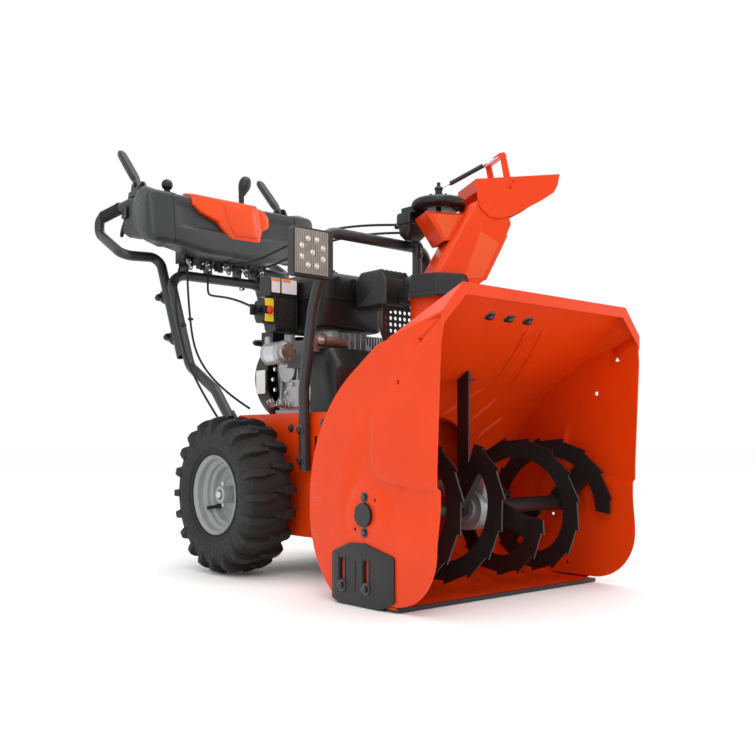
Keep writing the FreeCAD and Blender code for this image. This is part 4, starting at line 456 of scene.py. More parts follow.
def mesh_piece(name, build, material, body, stands_for=(), bevel=0.0, sharp=35.0):
    """Makes a finished mesh a named piece that rides on a CAD body."""
    bmesh.ops.remove_doubles(build, verts=build.verts, dist=0.005)
    obj = row_object(name, build)
    mesh = obj.data
    mesh.materials.append(MATERIALS[material])
    mesh.polygons.foreach_set("use_smooth", [True] * len(mesh.polygons))
    if bevel:
        rounder = obj.modifiers.new("edges", "BEVEL")
        rounder.width = bevel * MM
        rounder.segments = 3
        rounder.limit_method = "ANGLE"
        rounder.angle_limit = math.radians(32)
        rounder.harden_normals = True
    else:
        mesh.set_sharp_from_angle(angle=math.radians(sharp))
    settle(obj, body, stands_for)
    return obj


def settle(obj, body, stands_for=()):
    """Rides on a body, and stands for CAD nodes if it has any."""
    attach(obj, body)
    if stands_for:
        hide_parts(*stands_for)


def cut_by(obj, name, build):
    """Cuts a closed mesh, drawn in machine millimetres, out of a piece."""
    tool = row_object(name, build)
    cutter = obj.modifiers.new(name, "BOOLEAN")
    cutter.operation = "DIFFERENCE"
    cutter.solver = "EXACT"
    cutter.object = tool
    obj.modifiers.move(len(obj.modifiers) - 1, 0)
    bpy.context.view_layer.objects.active = obj
    with bpy.context.temp_override(object=obj, active_object=obj, selected_objects=[obj]):
        bpy.ops.object.modifier_apply(modifier=name)
    bpy.data.objects.remove(tool)


def curve_piece(name, runs, radius, material, body, stands_for=(), order=4, kind="NURBS"):
    """Round rods or cables along smooth runs of points, in machine millimetres."""
    data = bpy.data.curves.new(name, "CURVE")
    data.dimensions = "3D"
    data.bevel_depth = radius * MM
    data.bevel_resolution = 4
    data.resolution_u = 10
    data.use_fill_caps = True
    for points in runs:
        run = data.splines.new(kind)
        run.points.add(len(points) - 1)
        for item, point in zip(run.points, points):
            item.co = (*(TO_ROW @ Vector(point)), 1.0)
        if kind == "NURBS":
            run.order_u = min(order, len(points))
            run.use_endpoint_u = True
    data.materials.append(MATERIALS[material])
    settle(new_object(name, data), body, stands_for)


def bolt_head(build, place, axis, across=13.0, washer=1.6, height=6.0, thread=0.0):
    """Flanged hexagon bolt or nut, with a little of the thread standing out of it."""
    axis = Vector(axis).normalized()
    place = Vector(place)
    lathe(build, ((0, 0), (across * 0.92, 0), (across * 0.92, washer * 0.6), (across * 0.84, washer),
                  (0, washer)),
          place, axis, 24)
    hexagon(build, across, height, place + axis * washer, axis)
    if thread:
        radius = across * 0.27
        profile = [(0, 0)]
        for i in range(int(thread / 1.2)):
            profile += [(radius, i * 1.2), (radius * 0.88, i * 1.2 + 0.6)]
        profile += [(radius * 0.8, thread), (0, thread)]
        lathe(build, profile, place + axis * (washer + height), axis, 16)


# ------------------------------------------------------------------- wheels

LUGS = 20
RIM_SHARE = 0.468           # rim radius over tyre radius


def tyre_profile(half_width, radius, rim_radius):
    """Half of the carcass section from crown to bead, as (across, radius) points."""
    shape = ((0.0, 0.925), (0.36, 0.922), (0.68, 0.903), (0.88, 0.862), (0.97, 0.79), (0.985, 0.70),
             (0.94, 0.60), (0.865, 0.535), (0.80, 0.50))
    points = smooth_path([(a * half_width, b * radius) for a, b in shape], 6)
    return points + [Vector((0.74 * half_width, rim_radius))]


def tyre(side):
    """Pneumatic tyre: rounded carcass with bead rings and deep shoulder and centre lugs."""
    low, high, centre = span("tyre_" + side)
    half = (high.x - low.x) / 2
    radius = (high.z - low.z) / 2
    half_profile = tyre_profile(half, radius, radius * RIM_SHARE)
    profile = [(p.y, p.x) for p in half_profile] + [(p.y, -p.x) for p in reversed(half_profile[1:])]
    build = bmesh.new()
    lathe(build, profile, centre, ACROSS, 96)
    for ring, lift_by in ((0.885, 1.4), (0.57, 1.6), (0.525, 1.2)):
        for way in (-1, 1):
            rail(build, centre, half_profile, radius * ring, way, lift_by)
    for i in range(LUGS):
        for way in (-1, 1):
            angle = 2 * math.pi * (i + (0.25 if way > 0 else 0.0)) / LUGS
            lug(build, centre, half_profile, radius, half, way, angle,
                reach=(0.13, 0.50), width=9.5, height=14.0, slant=0.10)
            lug(build, centre, half_profile, radius, half, way, angle + 0.02,
                reach=(-0.02, 0.13), width=6.0, height=9.5, slant=-0.55)
    mesh_piece("tyre_%s_tread" % side, build, "tyre_rubber", "wheel_" + side, ("tyre_" + side,), sharp=28)


def rail(build, centre, profile, radius, way, height):
    """A fine moulded ring round the sidewall."""
    near = min(profile[12:], key=lambda p: abs(p.y - radius))
    section = ((near.y - 1.6, near.x - 2), (near.y - 0.8, near.x + height), (near.y + 0.8, near.x + height),
               (near.y + 1.6, near.x - 2))
    lathe(build, [(r, way * across) for r, across in section], centre, ACROSS, 96)


def lug(build, centre, profile, radius, half, way, angle, reach, width, height, slant):
    """One tread block that follows the carcass from the crown towards the shoulder."""
    count = len(profile) - 1
    sections = []
    steps = 7
    for step in range(steps + 1):
        share = step / steps
        place = reach[0] + (reach[1] - reach[0]) * share
        position = abs(place) * count
        index = min(int(position), count - 1)
        point = profile[index].lerp(profile[index + 1], position - index)
        along = (profile[index + 1] - profile[index]).normalized()
        normal = Vector((-along.y, along.x))
        if normal.y < 0 and abs(normal.y) > abs(normal.x):
            normal = -normal
        if normal.x < 0:
            normal = Vector((abs(normal.x), normal.y))
        across = math.copysign(point.x, place) if place else 0.0
        tall = height * (1.0 - 0.55 * smooth_step((share - 0.55) / 0.45)) if reach[1] > 0.3 else height
        outer_r = min(point.y + normal.y * tall, radius)
        outer_x = min(abs(across) + normal.x * tall, half * 1.02)
        inner_r = point.y - 3.0
        inner_x = max(abs(across) - 2.0 * normal.x, 0.0)
        flip = -1 if place < 0 else 1
        middle = angle + slant * (place * half * 1.6) / radius * 0.5
        section = []
        for r, x, wide in ((inner_r, inner_x, 1.25), (outer_r, outer_x, 0.86), (outer_r, outer_x, -0.86),
                           (inner_r, inner_x, -1.25)):
            turn = middle + wide * width / radius
            section.append(centre + Vector((way * flip * x, r * math.sin(turn), r * math.cos(turn))))
        sections.append(section)
    loft(build, sections)


def rim(side, sign):
    """Deep pressed rim with a welded hub tube, valve, retaining pin and its half axle."""
    low, high, centre = span("tyre_" + side)
    out = ACROSS * sign
    half = (high.x - low.x) / 2
    edge = half - 10
    build = bmesh.new()
    lathe(build, rim_section(edge), centre, out, 96)
    rim_low, rim_high, _ = span("rim_" + side)
    hub_end = min(edge - 16, (rim_high.x - rim_low.x))
    lathe(build, ((12.0, -70), (20.5, -70), (20.5, -6), (22.5, -4), (22.5, 3), (20.5, 6), (20.5, hub_end),
                  (18.6, hub_end + 1.4), (12.0, hub_end + 1.4)), centre, out, 40)
    for i in range(3):
        angle = 2 * math.pi * i / 3 + 0.5
        spot = centre + Vector((0, 36 * math.sin(angle), 36 * math.cos(angle))) + out * 3.0
        lathe(build, ((0, 0), (5.5, 0), (5.0, 1.6), (0, 2.2)), spot, out, 16)
    mesh_piece("rim_%s_pressing" % side, build, "silver_rim", "wheel_" + side, ("rim_" + side,), sharp=30)
    axle = bmesh.new()
    start = -abs(sign * min(abs(rim_low.x), abs(rim_high.x)) - centre.x)
    lathe(axle, ((0, start), (9.3, start), (9.3, hub_end + 4), (7.6, hub_end + 6), (0, hub_end + 6)), centre,
          out, 32)
    pin = centre + out * (hub_end - 9)
    lathe(axle, ((0, -29), (3.2, -29), (3.2, 27), (5.0, 27), (5.0, 30), (0, 30)), pin, UP, 16)
    mesh_piece("axle_%s_end" % side, axle, "silver_zinc", "wheel_" + side)
    valve = bmesh.new()
    spot = centre + Vector((0, 50, -30)) + out * 6
    lean = (out + Vector((0, 0.25, -0.15))).normalized()
    lathe(valve, ((0, 0), (6.5, 0), (5.2, 7), (4.2, 9), (4.2, 24), (4.8, 25), (4.8, 33), (0, 34)), spot, lean,
          20)
    mesh_piece("valve_%s_stem" % side, valve, "tyre_rubber", "wheel_" + side)


def rim_section(edge):
    """Closed section of the rim and its dished face, as (radius, height) points."""
    outer = ((95.0, edge - 3), (95.5, edge), (93.0, edge + 2.0), (90.0, edge - 1), (86.5, edge - 6),
             (86.0, edge - 20),
             (82.0, edge - 24), (77.0, edge - 27), (76.0, edge - 34), (68.0, edge - 38), (66.0, edge - 45))
    face = ((64.0, edge - 50), (52.0, edge - 52), (44.0, edge - 50), (38.0, edge - 47), (30.0, edge - 47),
            (19.0, edge - 48))
    back = ((19.0, edge - 51), (38.0, edge - 51), (52.0, edge - 56), (68.0, edge - 54), (70.0, -edge + 40),
            (79.0, -edge + 32), (84.0, -edge + 24), (88.0, -edge + 20), (89.0, -edge + 4), (93.0, -edge - 2),
            (95.5, -edge), (95.0, -edge + 3), (92.0, -edge + 8), (91.0, -edge + 24), (82.0, -edge + 34),
            (73.0, -edge + 44), (73.0, edge - 40), (80.0, edge - 32), (89.0, edge - 18), (89.5, edge - 6))
    return outer + face + back


# ------------------------------------------------------------ auger housing

CRESCENT_OUTER = ((-640, 486), (-593, 447), (-533, 381), (-468, 316), (-439, 240), (-432, 180), (-442, 110))
CRESCENT_INNER = ((-652, 484), (-625, 462), (-593, 432), (-557, 396), (-535, 350), (-529, 308), (-534, 272),
                  (-556, 248), (-620, 238), (-735, 236))
HOUSING_HALF = 305.0
CRESCENT_DEPTH = 9.0
CRESCENT_GRID = 7


def near_line(point, line):
    """Shortest distance from a flat point to a run of straight lines, signed: + on its left."""
    best = None
    for first, second in zip(line, line[1:]):
        run = second - first
        share = max(0.0, min(1.0, (point - first).dot(run) / run.length_squared))
        gap = point - (first + run * share)
        if best is None or gap.length < abs(best):
            best = math.copysign(gap.length, run.x * gap.y - run.y * gap.x)
    return best


def pressed_depth(y, z, outer, inner, bearing):
    """How far the pressed crescent sinks into a side plate at a point of it."""
    here = Vector((y, z))
    from_outer = near_line(here, outer)
    from_inner = near_line(here, inner)
    if from_outer > 0 or from_inner < 0:
        return 0.0
    soft = smooth_step(-from_outer / 40) * smooth_step(from_inner / 8)
    soft *= smooth_step((z - 118) / 90)
    return soft * smooth_step(((here - bearing).length - 44) / 30)


def side_plate(side, sign):
    """Side plate with the crescent pressed into it, cut from the CAD plate's own outline."""
    label = "housing_side_" + side
    build = cad_build(label)
    bmesh.ops.remove_doubles(build, verts=build.verts, dist=0.01)
    outer, inner = smooth_path(CRESCENT_OUTER, 5), smooth_path(CRESCENT_INNER, 5)
    for way, first, last in ((BACK, -660, -424), (UP, 110, 492)):
        for place in range(first, last + 1, CRESCENT_GRID):
            bmesh.ops.bisect_plane(build, geom=build.verts[:] + build.edges[:] + build.faces[:],
                                   plane_co=way * place, plane_no=way)
    _, _, bearing = span("auger_shaft")
    middle = Vector((bearing.y, bearing.z))
    for vert in build.verts:
        vert.co.x -= sign * CRESCENT_DEPTH * pressed_depth(vert.co.y, vert.co.z, outer, inner, middle)
    mesh_piece("side_plate_" + side, build, "orange_paint", "chassis", (label,), sharp=40)


def shell_surface():
    """Search tree over the CAD housing shell, in machine millimetres."""
    build = cad_build("auger_housing_shell")
    tree = BVHTree.FromBMesh(build)
    build.free()
    return tree


def housing_beads():
    """The curved stiffening beads pressed into the housing's roof and back."""
    tree = shell_surface()
    build = bmesh.new()
    runs = (
        ((20, -652), (62, -575), (84, -500), (64, -448), (12, -404)),
        ((66, -655), (118, -570), (150, -495), (148, -438), (104, -392)),
        ((217, -405), (192, -392), (158, -374)),
    )
    for run in runs:
        path = smooth_path([(x, y, 0) for x, y in run])
        sections = []
        for i, point in enumerate(path):
            spot, normal, _, _ = tree.ray_cast(Vector((point.x, point.y, 200)), UP)
            side = normal.cross(direction(path, i)).normalized()
            full = 0.35 + 0.65 * smooth_step(min(i, len(path) - 1 - i) / 3)
            inward = normal if normal.z < 0 else -normal
            section = []
            for k in range(9):
                angle = math.pi * k / 8
                section.append(spot + side * (9 * full * math.cos(angle))
                               + inward * (4.5 * full * math.sin(angle) - 0.6))
            sections.append(section)
        loft(build, sections)
    mesh_piece("housing_beads", build, "orange_paint", "chassis", sharp=60)


def lip_seam():
    """Spot welds along the folded lip."""
    build = bmesh.new()
    tree = shell_surface()
    for x, y in ((-170, -690), (-60, -700), (60, -700), (170, -690), (-258, -660), (258, -660)):
        spot, normal, _, _ = tree.ray_cast(Vector((x, y, 300)), UP)
        if spot is not None:
            lathe(build, ((0, -0.6), (6, -0.6), (4.4, 0.7), (0, 0.9)), spot, normal, 20)
    mesh_piece("housing_welds", build, "orange_paint", "chassis")


SKID_OUTLINE = ((-418, 100, 8), (-471, 121, 12), (-515, 123, 12), (-601, 103, 8), (-602, 19, 6),
                (-560, 0, 20),
                (-440, 0, 12), (-418, 9, 4))
SKID_SLOTS = (-454, -526)


def skid_shoe(side, sign):
    """Moulded skid shoe: sloped border round a raised face, with two slots and a ribbed sole."""
    label = "skid_shoe_" + side
    low, high, centre = span(label)
    thick = high.x - low.x
    inner = low.x if sign > 0 else high.x
    middle = Vector((centre.y, centre.z))
    outline = arc_points(SKID_OUTLINE, 6)
    sections = []
    for reach, shrink in ((0, 0), (thick * 0.45, 0), (thick * 0.62, 0.012), (thick * 0.92, 0.10),
                          (thick, 0.125)):
        points = [point + (middle - point) * shrink for point in outline]
        sections.append(lift(points, "YZ", inner + sign * reach))
    build = bmesh.new()
    loft(build, sections)
    shoe = mesh_piece("skid_%s_moulding" % side, build, "skid_plastic", "skid_" + side, (label,), sharp=24)
    for y in SKID_SLOTS:
        cutter = bmesh.new()
        panel(cutter, (y - 7, 30), (y + 7, 92), 6.6, "YZ", inner - sign * 6, sign * (thick + 12))
        cut_by(shoe, "slot_cut", cutter)
    trim = bmesh.new()
    base = inner + sign * (thick - 1.0)
    for y in SKID_SLOTS:
        for edge in (y - 10.5, y + 10.5):
            panel(trim, (edge - 1.3, 27), (edge + 1.3, 95), 0.9, "YZ", base, sign * 2.2)
    panel(trim, (-496, 30), (-484, 88), 2, "YZ", base, sign * 2.0)
    mesh_piece("skid_%s_ribs" % side, trim, "skid_plastic", "skid_" + side, bevel=0.4)


# ------------------------------------------------- console, levers and grips

def console_section(x, grow, chin, step, shallow):
    """One section of the console across X.

    chin lowers its front, step sinks its face and shallow trims its back.
    """
    corners = (
        (480 - 6 * chin, 860 - 24 * chin - grow, 10), (402 - 22 * chin - grow, 858 - 20 * chin - grow, 15),
        (407.4 - 5 * chin - grow, 905, 6), (408.6 + step - grow, 917, 4), (415.0 + step - grow, 966, 4),
        (416.4 - grow, 979, 6), (418.4 - grow, 998 + grow, 16), (520, 1018 + grow, 24),
        (606 + grow * 0.5, 996 + grow, 26), (596 + grow * 0.5, 906 - grow * 0.5, 30))
    points = [Vector((y - shallow * 0.5 * max(0.0, y - 420), z)) for y, z in arc_points(corners, 6)]
    return lift(points, "YZ", x)


def console():
    """Moulded console: end pods with a seam, a sunk channel and a chin under its middle."""
    half = span("console_body")[1].x
    pod = [(half - inset, grow) for inset, grow in (
        (0, -22), (2.5, -13), (7, -5.5), (14, -1.2), (24, 0.8), (62, 1.2), (74, 1.0), (75.4, -1.8),
        (77.4, -1.8),
        (78.6, -0.4))]
    stations = [(-x, grow) for x, grow in pod] + [(x, -0.4) for x in range(-190, 200, 20)] + pod[::-1]
    sections = []
    for x, grow in stations:
        chin = smooth_step((205 - abs(x + 5)) / 115)
        step = 6.0 * smooth_step((194 - abs(x)) / 16)
        shallow = smooth_step((abs(x) - 224) / 5)
        sections.append(console_section(x, grow, chin, step, shallow))
    build = bmesh.new()
    loft(build, sections)
    body = mesh_piece("console_moulding", build, "console_plastic", "chassis", ("console_body",), sharp=42)
    slot = bmesh.new()
    block(slot, (39, 428, 975), (61, 518, 1050))
    cut_by(body, "lever_slot", slot)
    hole = bmesh.new()
    _, _, stick = span("chute_joystick")
    lathe(hole, ((0, 0), (20, 0), (20, 90), (0, 90)), (stick.x, stick.y, 975), UP, 32)
    cut_by(body, "joystick_hole", hole)
    for side, _ in SIDES:
        gap = bmesh.new()
        _, _, trigger = span("trigger_" + side)
        block(gap, (trigger.x - 9, 560, 905), (trigger.x + 9, 615, 985))
        cut_by(body, "trigger_gap_" + side, gap)
    yokes = bmesh.new()
    for side, _ in SIDES:
        _, _, paddle = span("paddle_" + side)
        for way in (-1, 1):
            prism(yokes, ((522, 1004, 2), (570, 1004, 2), (566, 1036, 8), (552, 1051, 12), (536, 1050, 12),
                          (524, 1030, 8)), "YZ", paddle.x + way * 11 - 3, 6)
        for way in (1, -1):
            lathe(yokes, ((0, 0), (7.5, 0), (7.5, 3), (0, 4)), (paddle.x + way * 14, 546, 1038), ACROSS * way,
                  24)
        prism(yokes, ((512, 1000, 4), (574, 1000, 4), (570, 1019, 5), (520, 1019, 5)), "YZ", paddle.x - 20,
              40)
        prism(yokes, ((496, 905, 8), (560, 890, 10), (604, 912, 12), (600, 985, 10), (574, 1004, 8),
                      (500, 1004, 8)),
              "YZ", paddle.x - 20, 36)
    mesh_piece("paddle_yokes", yokes, "knob_plastic", "chassis", bevel=1.2)
    ring = bmesh.new()
    lathe(ring, ((20, 0), (27, 0), (26, 3.5), (21, 4.5), (20, 3)), (stick.x, stick.y, 1009.5), (0, -0.19, 1),
          36)
    mesh_piece("joystick_collar", ring, "knob_plastic", "chassis", sharp=40)


COVER_LEAN = 0.117          # how far the cover leans back for each millimetre up
PADDLE_RISE = math.radians(46)
TRIGGER_DROP = math.radians(-42)
LEVER_LEAN = math.radians(18)


def cover_skin(build, outline, centre, rings):
    """A cover panel's rings, each pulled in towards its middle and lifted off the console's face."""
    outline = arc_points(outline, 6)
    centre = Vector(centre)
    sections = []
    for shrink, out in rings:
        flats = [point + (centre - point).normalized() * shrink for point in outline]
        sections.append([Vector((flat.x, 402 + (flat.y - 858) * COVER_LEAN - out, flat.y)) for flat in flats])
    loft(build, sections)


def console_cover():
    """Glossy centre cover: a faceted shield that folds over the console's top, with a side wing."""
    low, high, _ = span("console_cover")
    build = bmesh.new()
    cover_skin(build, ((low.x + 2, 1006, 5), (64, 1006, 6), (72, 994, 6), (80, 930, 8), (70, 893, 12),
                       (-28, 890, 12),
                       (-70, 936, 16), (-122, 956, 12), (low.x + 4, 975, 12)),
               (0, 950), ((0, -5), (0, 3.0), (1.2, 5.4), (5.0, 7.6), (15, 8.6)))
    cover_skin(build, ((68, 1000, 5), (high.x - 18, 996, 10), (high.x, 975, 14), (high.x - 2, 945, 14),
                       (high.x - 28, 930, 8), (74, 932, 5)),
               (90, 966), ((0, -5), (0, 0.6), (1.0, 2.0), (5.0, 4.4), (12, 6.0)))
    mesh_piece("cover_face", build, "cover_plastic", "chassis", ("console_cover",), sharp=50)
    top = bmesh.new()
    sections = []
    for x, grow in ((low.x + 1, -3), (low.x + 4, -0.5), (low.x + 9, 0), (60, 0), (66, -0.5), (69, -3)):
        corners = ((409 - grow, 975, 4), (412.5 - grow, 1005.5 + grow, 16), (466, 1018.5 + grow, 4),
                   (466, 1011, 2),
                   (424, 996, 8), (418, 972, 3))
        sections.append(lift(arc_points(corners, 6), "YZ", x))
    loft(top, sections)
    brow = mesh_piece("cover_brow", top, "cover_plastic", "chassis", sharp=50)
    slot = bmesh.new()
    block(slot, (38, 427, 960), (62, 480, 1040))
    cut_by(brow, "brow_slot", slot)
    raised = bmesh.new()
    cover_skin(raised, ((-52, 996, 6), (56, 996, 6), (66, 932, 10), (58, 904, 10), (-18, 902, 10),
                        (-40, 940, 14)),
               (10, 950), ((0, 6.0), (3, 11.0), (7, 12.4), (26, 13.2)))
    mesh_piece("cover_shield", raised, "cover_plastic", "chassis", sharp=24)


def paddle(side):
    """Flattened control paddle with a crowned back and a round tip, on its hinge boss."""
    pivot = pivot_of("paddle_" + side)
    along = Vector((0, math.cos(PADDLE_RISE), math.sin(PADDLE_RISE)))
    normal = Vector((0, -along.z, along.y))
    build = bmesh.new()
    loft(build, [oval(pivot + along * reach, ACROSS * half, normal * thick, 20, 0.72)
                 for reach, half, thick in (
        (-7, 6, 5), (-4, 8.5, 8), (8, 9.5, 9), (22, 9.5, 9), (30, 12, 10.5), (40, 13, 11), (90, 13.4, 11),
        (146, 13, 10.6), (158, 11.8, 9.6), (166, 8.8, 7.4), (170, 4.6, 4.0))])
    lathe(build, ((0, -10), (8.5, -10), (9, -9), (9, 9), (8.5, 10), (0, 10)), pivot, ACROSS, 28)
    mesh_piece("paddle_%s_grip" % side, build, "knob_plastic", "paddle_" + side, ("paddle_" + side,),
               sharp=50)


def trigger(side):
    """Curved steering trigger under the grip, thicker at its hinge."""
    pivot = pivot_of("trigger_" + side)
    turn = Matrix.Rotation(TRIGGER_DROP, 3, "X")
    sections = []
    path = smooth_path([(0, 0, 0), (0, 20, -5), (0, 40, -7), (0, 56, -12), (0, 67, -17)], 5)
    for i, point in enumerate(path):
        share = i / (len(path) - 1)
        half = 5.6 * (1 - 0.35 * smooth_step((share - 0.8) / 0.2))
        normal = ACROSS.cross(direction(path, i)) * (6.5 - 2.0 * share)
        sections.append(oval(pivot + turn @ point, turn @ (ACROSS * half), turn @ normal, 16, 0.7))
    build = bmesh.new()
    loft(build, sections)
    lathe(build, ((0, -5.8), (7, -5.8), (7, 5.8), (0, 5.8)), pivot, ACROSS, 24)
    mesh_piece("trigger_%s_blade" % side, build, "knob_plastic", "trigger_" + side, ("trigger_" + side,),
               sharp=50)


def speed_lever():
    """Lever rod with a ribbed neck and a big pear-shaped knob that leans to one side."""
    pivot = pivot_of("speed_lever")
    lean = Vector((math.sin(LEVER_LEAN), 0, math.cos(LEVER_LEAN)))
    seat = Vector((pivot.x, pivot.y, 1044))
    outline = smooth_path(((7.5, -6), (8.6, 0), (12.5, 12), (17.4, 28), (18.2, 40), (15.2, 52), (9.0, 59.5),
                           (0.2, 61.5)), 6)
    build = bmesh.new()
    lathe(build, [(0, -6)] + outline, seat, lean, 48)
    mesh_piece("speed_knob", build, "knob_plastic", "speed_lever", ("speed_lever",), sharp=60)
    rod = bmesh.new()
    top = 96
    neck = [(0, -8), (6, -8), (6, top - 30)]
    for i in range(4):
        base = top - 28 + i * 5.6
        neck += [(8.2, base), (8.2, base + 3.2), (6.6, base + 3.8), (6.6, base + 5.4)]
    neck += [(0, top - 5)]
    lathe(rod, neck, pivot, UP, 28)
    lathe(rod, ((5.2, -8), (12, -8), (12, 8), (5.2, 8)), pivot, ACROSS, 28)
    mesh_piece("speed_rod", rod, "knob_plastic", "speed_lever")


def joystick():
    """Chute joystick with a ball knob and a pleated boot."""
    pivot = pivot_of("chute_joystick")
    top = span("chute_joystick")[1].z - pivot.z
    build = bmesh.new()
    profile = [(0, top - 40), (7.5, top - 40), (8, top - 34)]
    for i in range(11):
        angle = -1.05 + i * (math.pi / 2 + 1.05) / 10
        profile.append((15.9 * math.cos(angle), top - 16 + 15.9 * math.sin(angle)))
    lathe(build, profile, pivot, UP, 36)
    mesh_piece("joystick_knob", build, "knob_plastic", "chute_joystick", ("chute_joystick",), sharp=60)
    boot = bmesh.new()
    folds = [(0, 0)]
    for i in range(5):
        radius = 17 - i * 2.2
        folds += [(radius, 38 + i * 4.2), (radius - 2.4, 38 + i * 4.2 + 2.4)]
    folds += [(6.5, 61), (0, 61)]
    lathe(boot, folds, pivot, UP, 32)
    mesh_piece("joystick_boot", boot, "belt_rubber", "chute_joystick", sharp=50)


def mechanism():
    """Linkage under the console: lever plates, pulleys, clevises and short return springs."""
    build = bmesh.new()
    for i, x in enumerate((-142, -118, -86, -58, -26, 8, 38, 70, 100)):
        tilt = 8 * (-1) ** i
        prism(build, ((452 + tilt, 858, 3), (488 + tilt, 862, 3), (500, 822 - tilt, 9), (472, 806 + tilt, 9)),
              "YZ", x, 3.5)
        lathe(build, ((0, -5), (9, -5), (9, -3), (7, -1.5), (7, 1.5), (9, 3), (9, 5), (0, 5)),
              (x + 9, 478, 826 - tilt),
              ACROSS, 24)
        bolt_head(build, (x + 14, 484, 836 + tilt), ACROSS, 9, 1.2, 5, 4)
    mesh_piece("lever_links", build, "black_paint", "chassis", bevel=0.4)
    bosses = bmesh.new()
    for x in (-132, -72, -8, 54, 112):
        lathe(bosses, ((0, 0), (7, 0), (7, 10), (4, 12), (4, 26), (0, 26)), (x, 462, 830), (0.1, -0.5, -1),
              20)
    mesh_piece("cable_ends", bosses, "silver_zinc", "chassis", bevel=0.4)
    for i, x in enumerate((-126, -66, 20, 84)):
        start = Vector((x, 500, 856))
        spring_coil("return_spring_%d" % i, start, start + Vector((6, -24, -38)), 4.2, 0.9, 14, "chassis")


def handle_knobs():
    """Lobed hand knobs that clamp the upper handles to the lower one."""
    build = bmesh.new()
    along = Vector((0, 117, 270)).normalized()
    back = Vector((0, along.z, -along.y))
    turn = facing(back)
    for _, sign in SIDES:
        for z in (625, 745):
            tube = Vector((sign * 163, 442 + (z - 553) * 0.434, z))
            seat = tube + back * 14.3
            lathe(build, ((0, 0), (9, 0), (11.5, 3), (10.5, 10), (0, 12)), seat, back, 28)
            angles = [2 * math.pi * k / 48 for k in range(48)]
            loft(build, [[seat + turn @ polar((17.0 + 6.0 * math.cos(3 * angle + z)) * scale, angle, level)
                          for angle in angles]
                         for scale, level in ((0.86, 9), (1.0, 12), (1.0, 22), (0.9, 25.5), (0.4, 26))])
            bolt_head(build, tube - back * 42.5, -back, 11, 1.2, 5)
    mesh_piece("clamp_knobs", build, "knob_plastic", "chassis", ("handle_knobs",), sharp=40)


def handle_grips():
    """Soft sleeves on the D grips, with end collars and fine rings."""
    for side, sign in SIDES:
        start = Vector((sign * 280, 690, 969))
        end = Vector((sign * 263, 615, 983))
        length = (end - start).length
        profile = [(14.1, 0), (16.4, 0.6), (17.2, 3)]
        rings = 12
        for i in range(rings):
            base = 6 + (length - 12) * i / rings
            profile += [(16.2, base), (16.7, base + 0.8), (16.7, base + 3.4), (16.2, base + 4.2)]
        profile += [(17.4, length - 5), (17.4, length - 1), (14.1, length)]
        build = bmesh.new()
        lathe(build, profile, start, end - start, 32)
        mesh_piece("grip_%s_sleeve" % side, build, "belt_rubber", "chassis", sharp=50)


# -------------------------------------------------------------------- light

def work_light():
    """Square LED lamp: finned casting, ribbed lens in a bezel, eight lamps round one."""
    low, high, centre = span("light_head")
    glass_low, glass_high, glass = span("light_lens")
    build = bmesh.new()
    panel(build, (low.x, low.z), (high.x, high.z), 9, "XZ", low.y + 1, 21)
    body = mesh_piece("lamp_case", build, "light_casting", "light", ("light_head",), bevel=1.6)
    recess = bmesh.new()
    panel(recess, (glass_low.x, glass_low.z), (glass_high.x, glass_high.z), 5, "XZ", low.y - 4, 11)
    cut_by(body, "lamp_recess", recess)
    fins = bmesh.new()
    count = 11
    for i in range(count):
        level = low.z + 8 + (high.z - low.z - 16) * i / (count - 1)
        prism(fins, ((low.x + 6, low.y + 20), (high.x - 6, low.y + 20), (high.x - 14, high.y + 1, 6),
                     (low.x + 14, high.y + 1, 6)), "XY", level - 1.3, 2.6)
    mesh_piece("lamp_fins", fins, "light_casting", "light", bevel=0.4)
    inset = Vector((0.6, 0, 0.6))
    glass_low, glass_high = glass_low + inset, glass_high - inset
    lens = bmesh.new()
    ribs = 34
    pitch = (glass_high.x - glass_low.x) / ribs
    front = []
    for i in range(ribs):
        for share in (0, 0.25, 0.5, 0.75):
            front.append((glass_low.x + i * pitch + pitch * share,
                          glass_low.y + 2.0 - 1.1 * math.sin(math.pi * share)))
    rear = glass_low.y + 6.0
    front += [(glass_high.x, glass_low.y + 2.0), (glass_high.x, rear), (glass_low.x, rear)]
    prism(lens, front, "XY", glass_low.z, glass_high.z - glass_low.z)
    mesh_piece("lamp_lens", lens, "clear_lens", "light", ("light_lens",), sharp=60)
    lamps = bmesh.new()
    for spot in [Vector((0, 0, 0))] + [polar(31, 2 * math.pi * (i + 0.5) / 8) for i in range(8)]:
        lathe(lamps, ((0, -0.6), (6.6, -0.6), (6.2, 0.8), (5.0, 0.9), (4.4, 0.2), (3.4, 0.4), (2.4, 1.6),
                      (0, 2.0)),
              (glass.x + spot.x, glass_low.y + 1.4, glass.z + spot.y), -BACK, 24)
    mesh_piece("lamp_leds", lamps, "reflector", "light", sharp=40)
    bracket = bmesh.new()
    panel(bracket, (low.y + 8, centre.z - 16), (high.y - 4, centre.z + 16), 6, "YZ", high.x - 0.5, 4.5)
    bolt_head(bracket, (high.x + 3.8, -232, 727), ACROSS, 10, 1.4, 4.5)
    mesh_piece("lamp_pivot", bracket, "zinc_bolts", "light", bevel=0.4)


# ------------------------------------------------------------------- engine

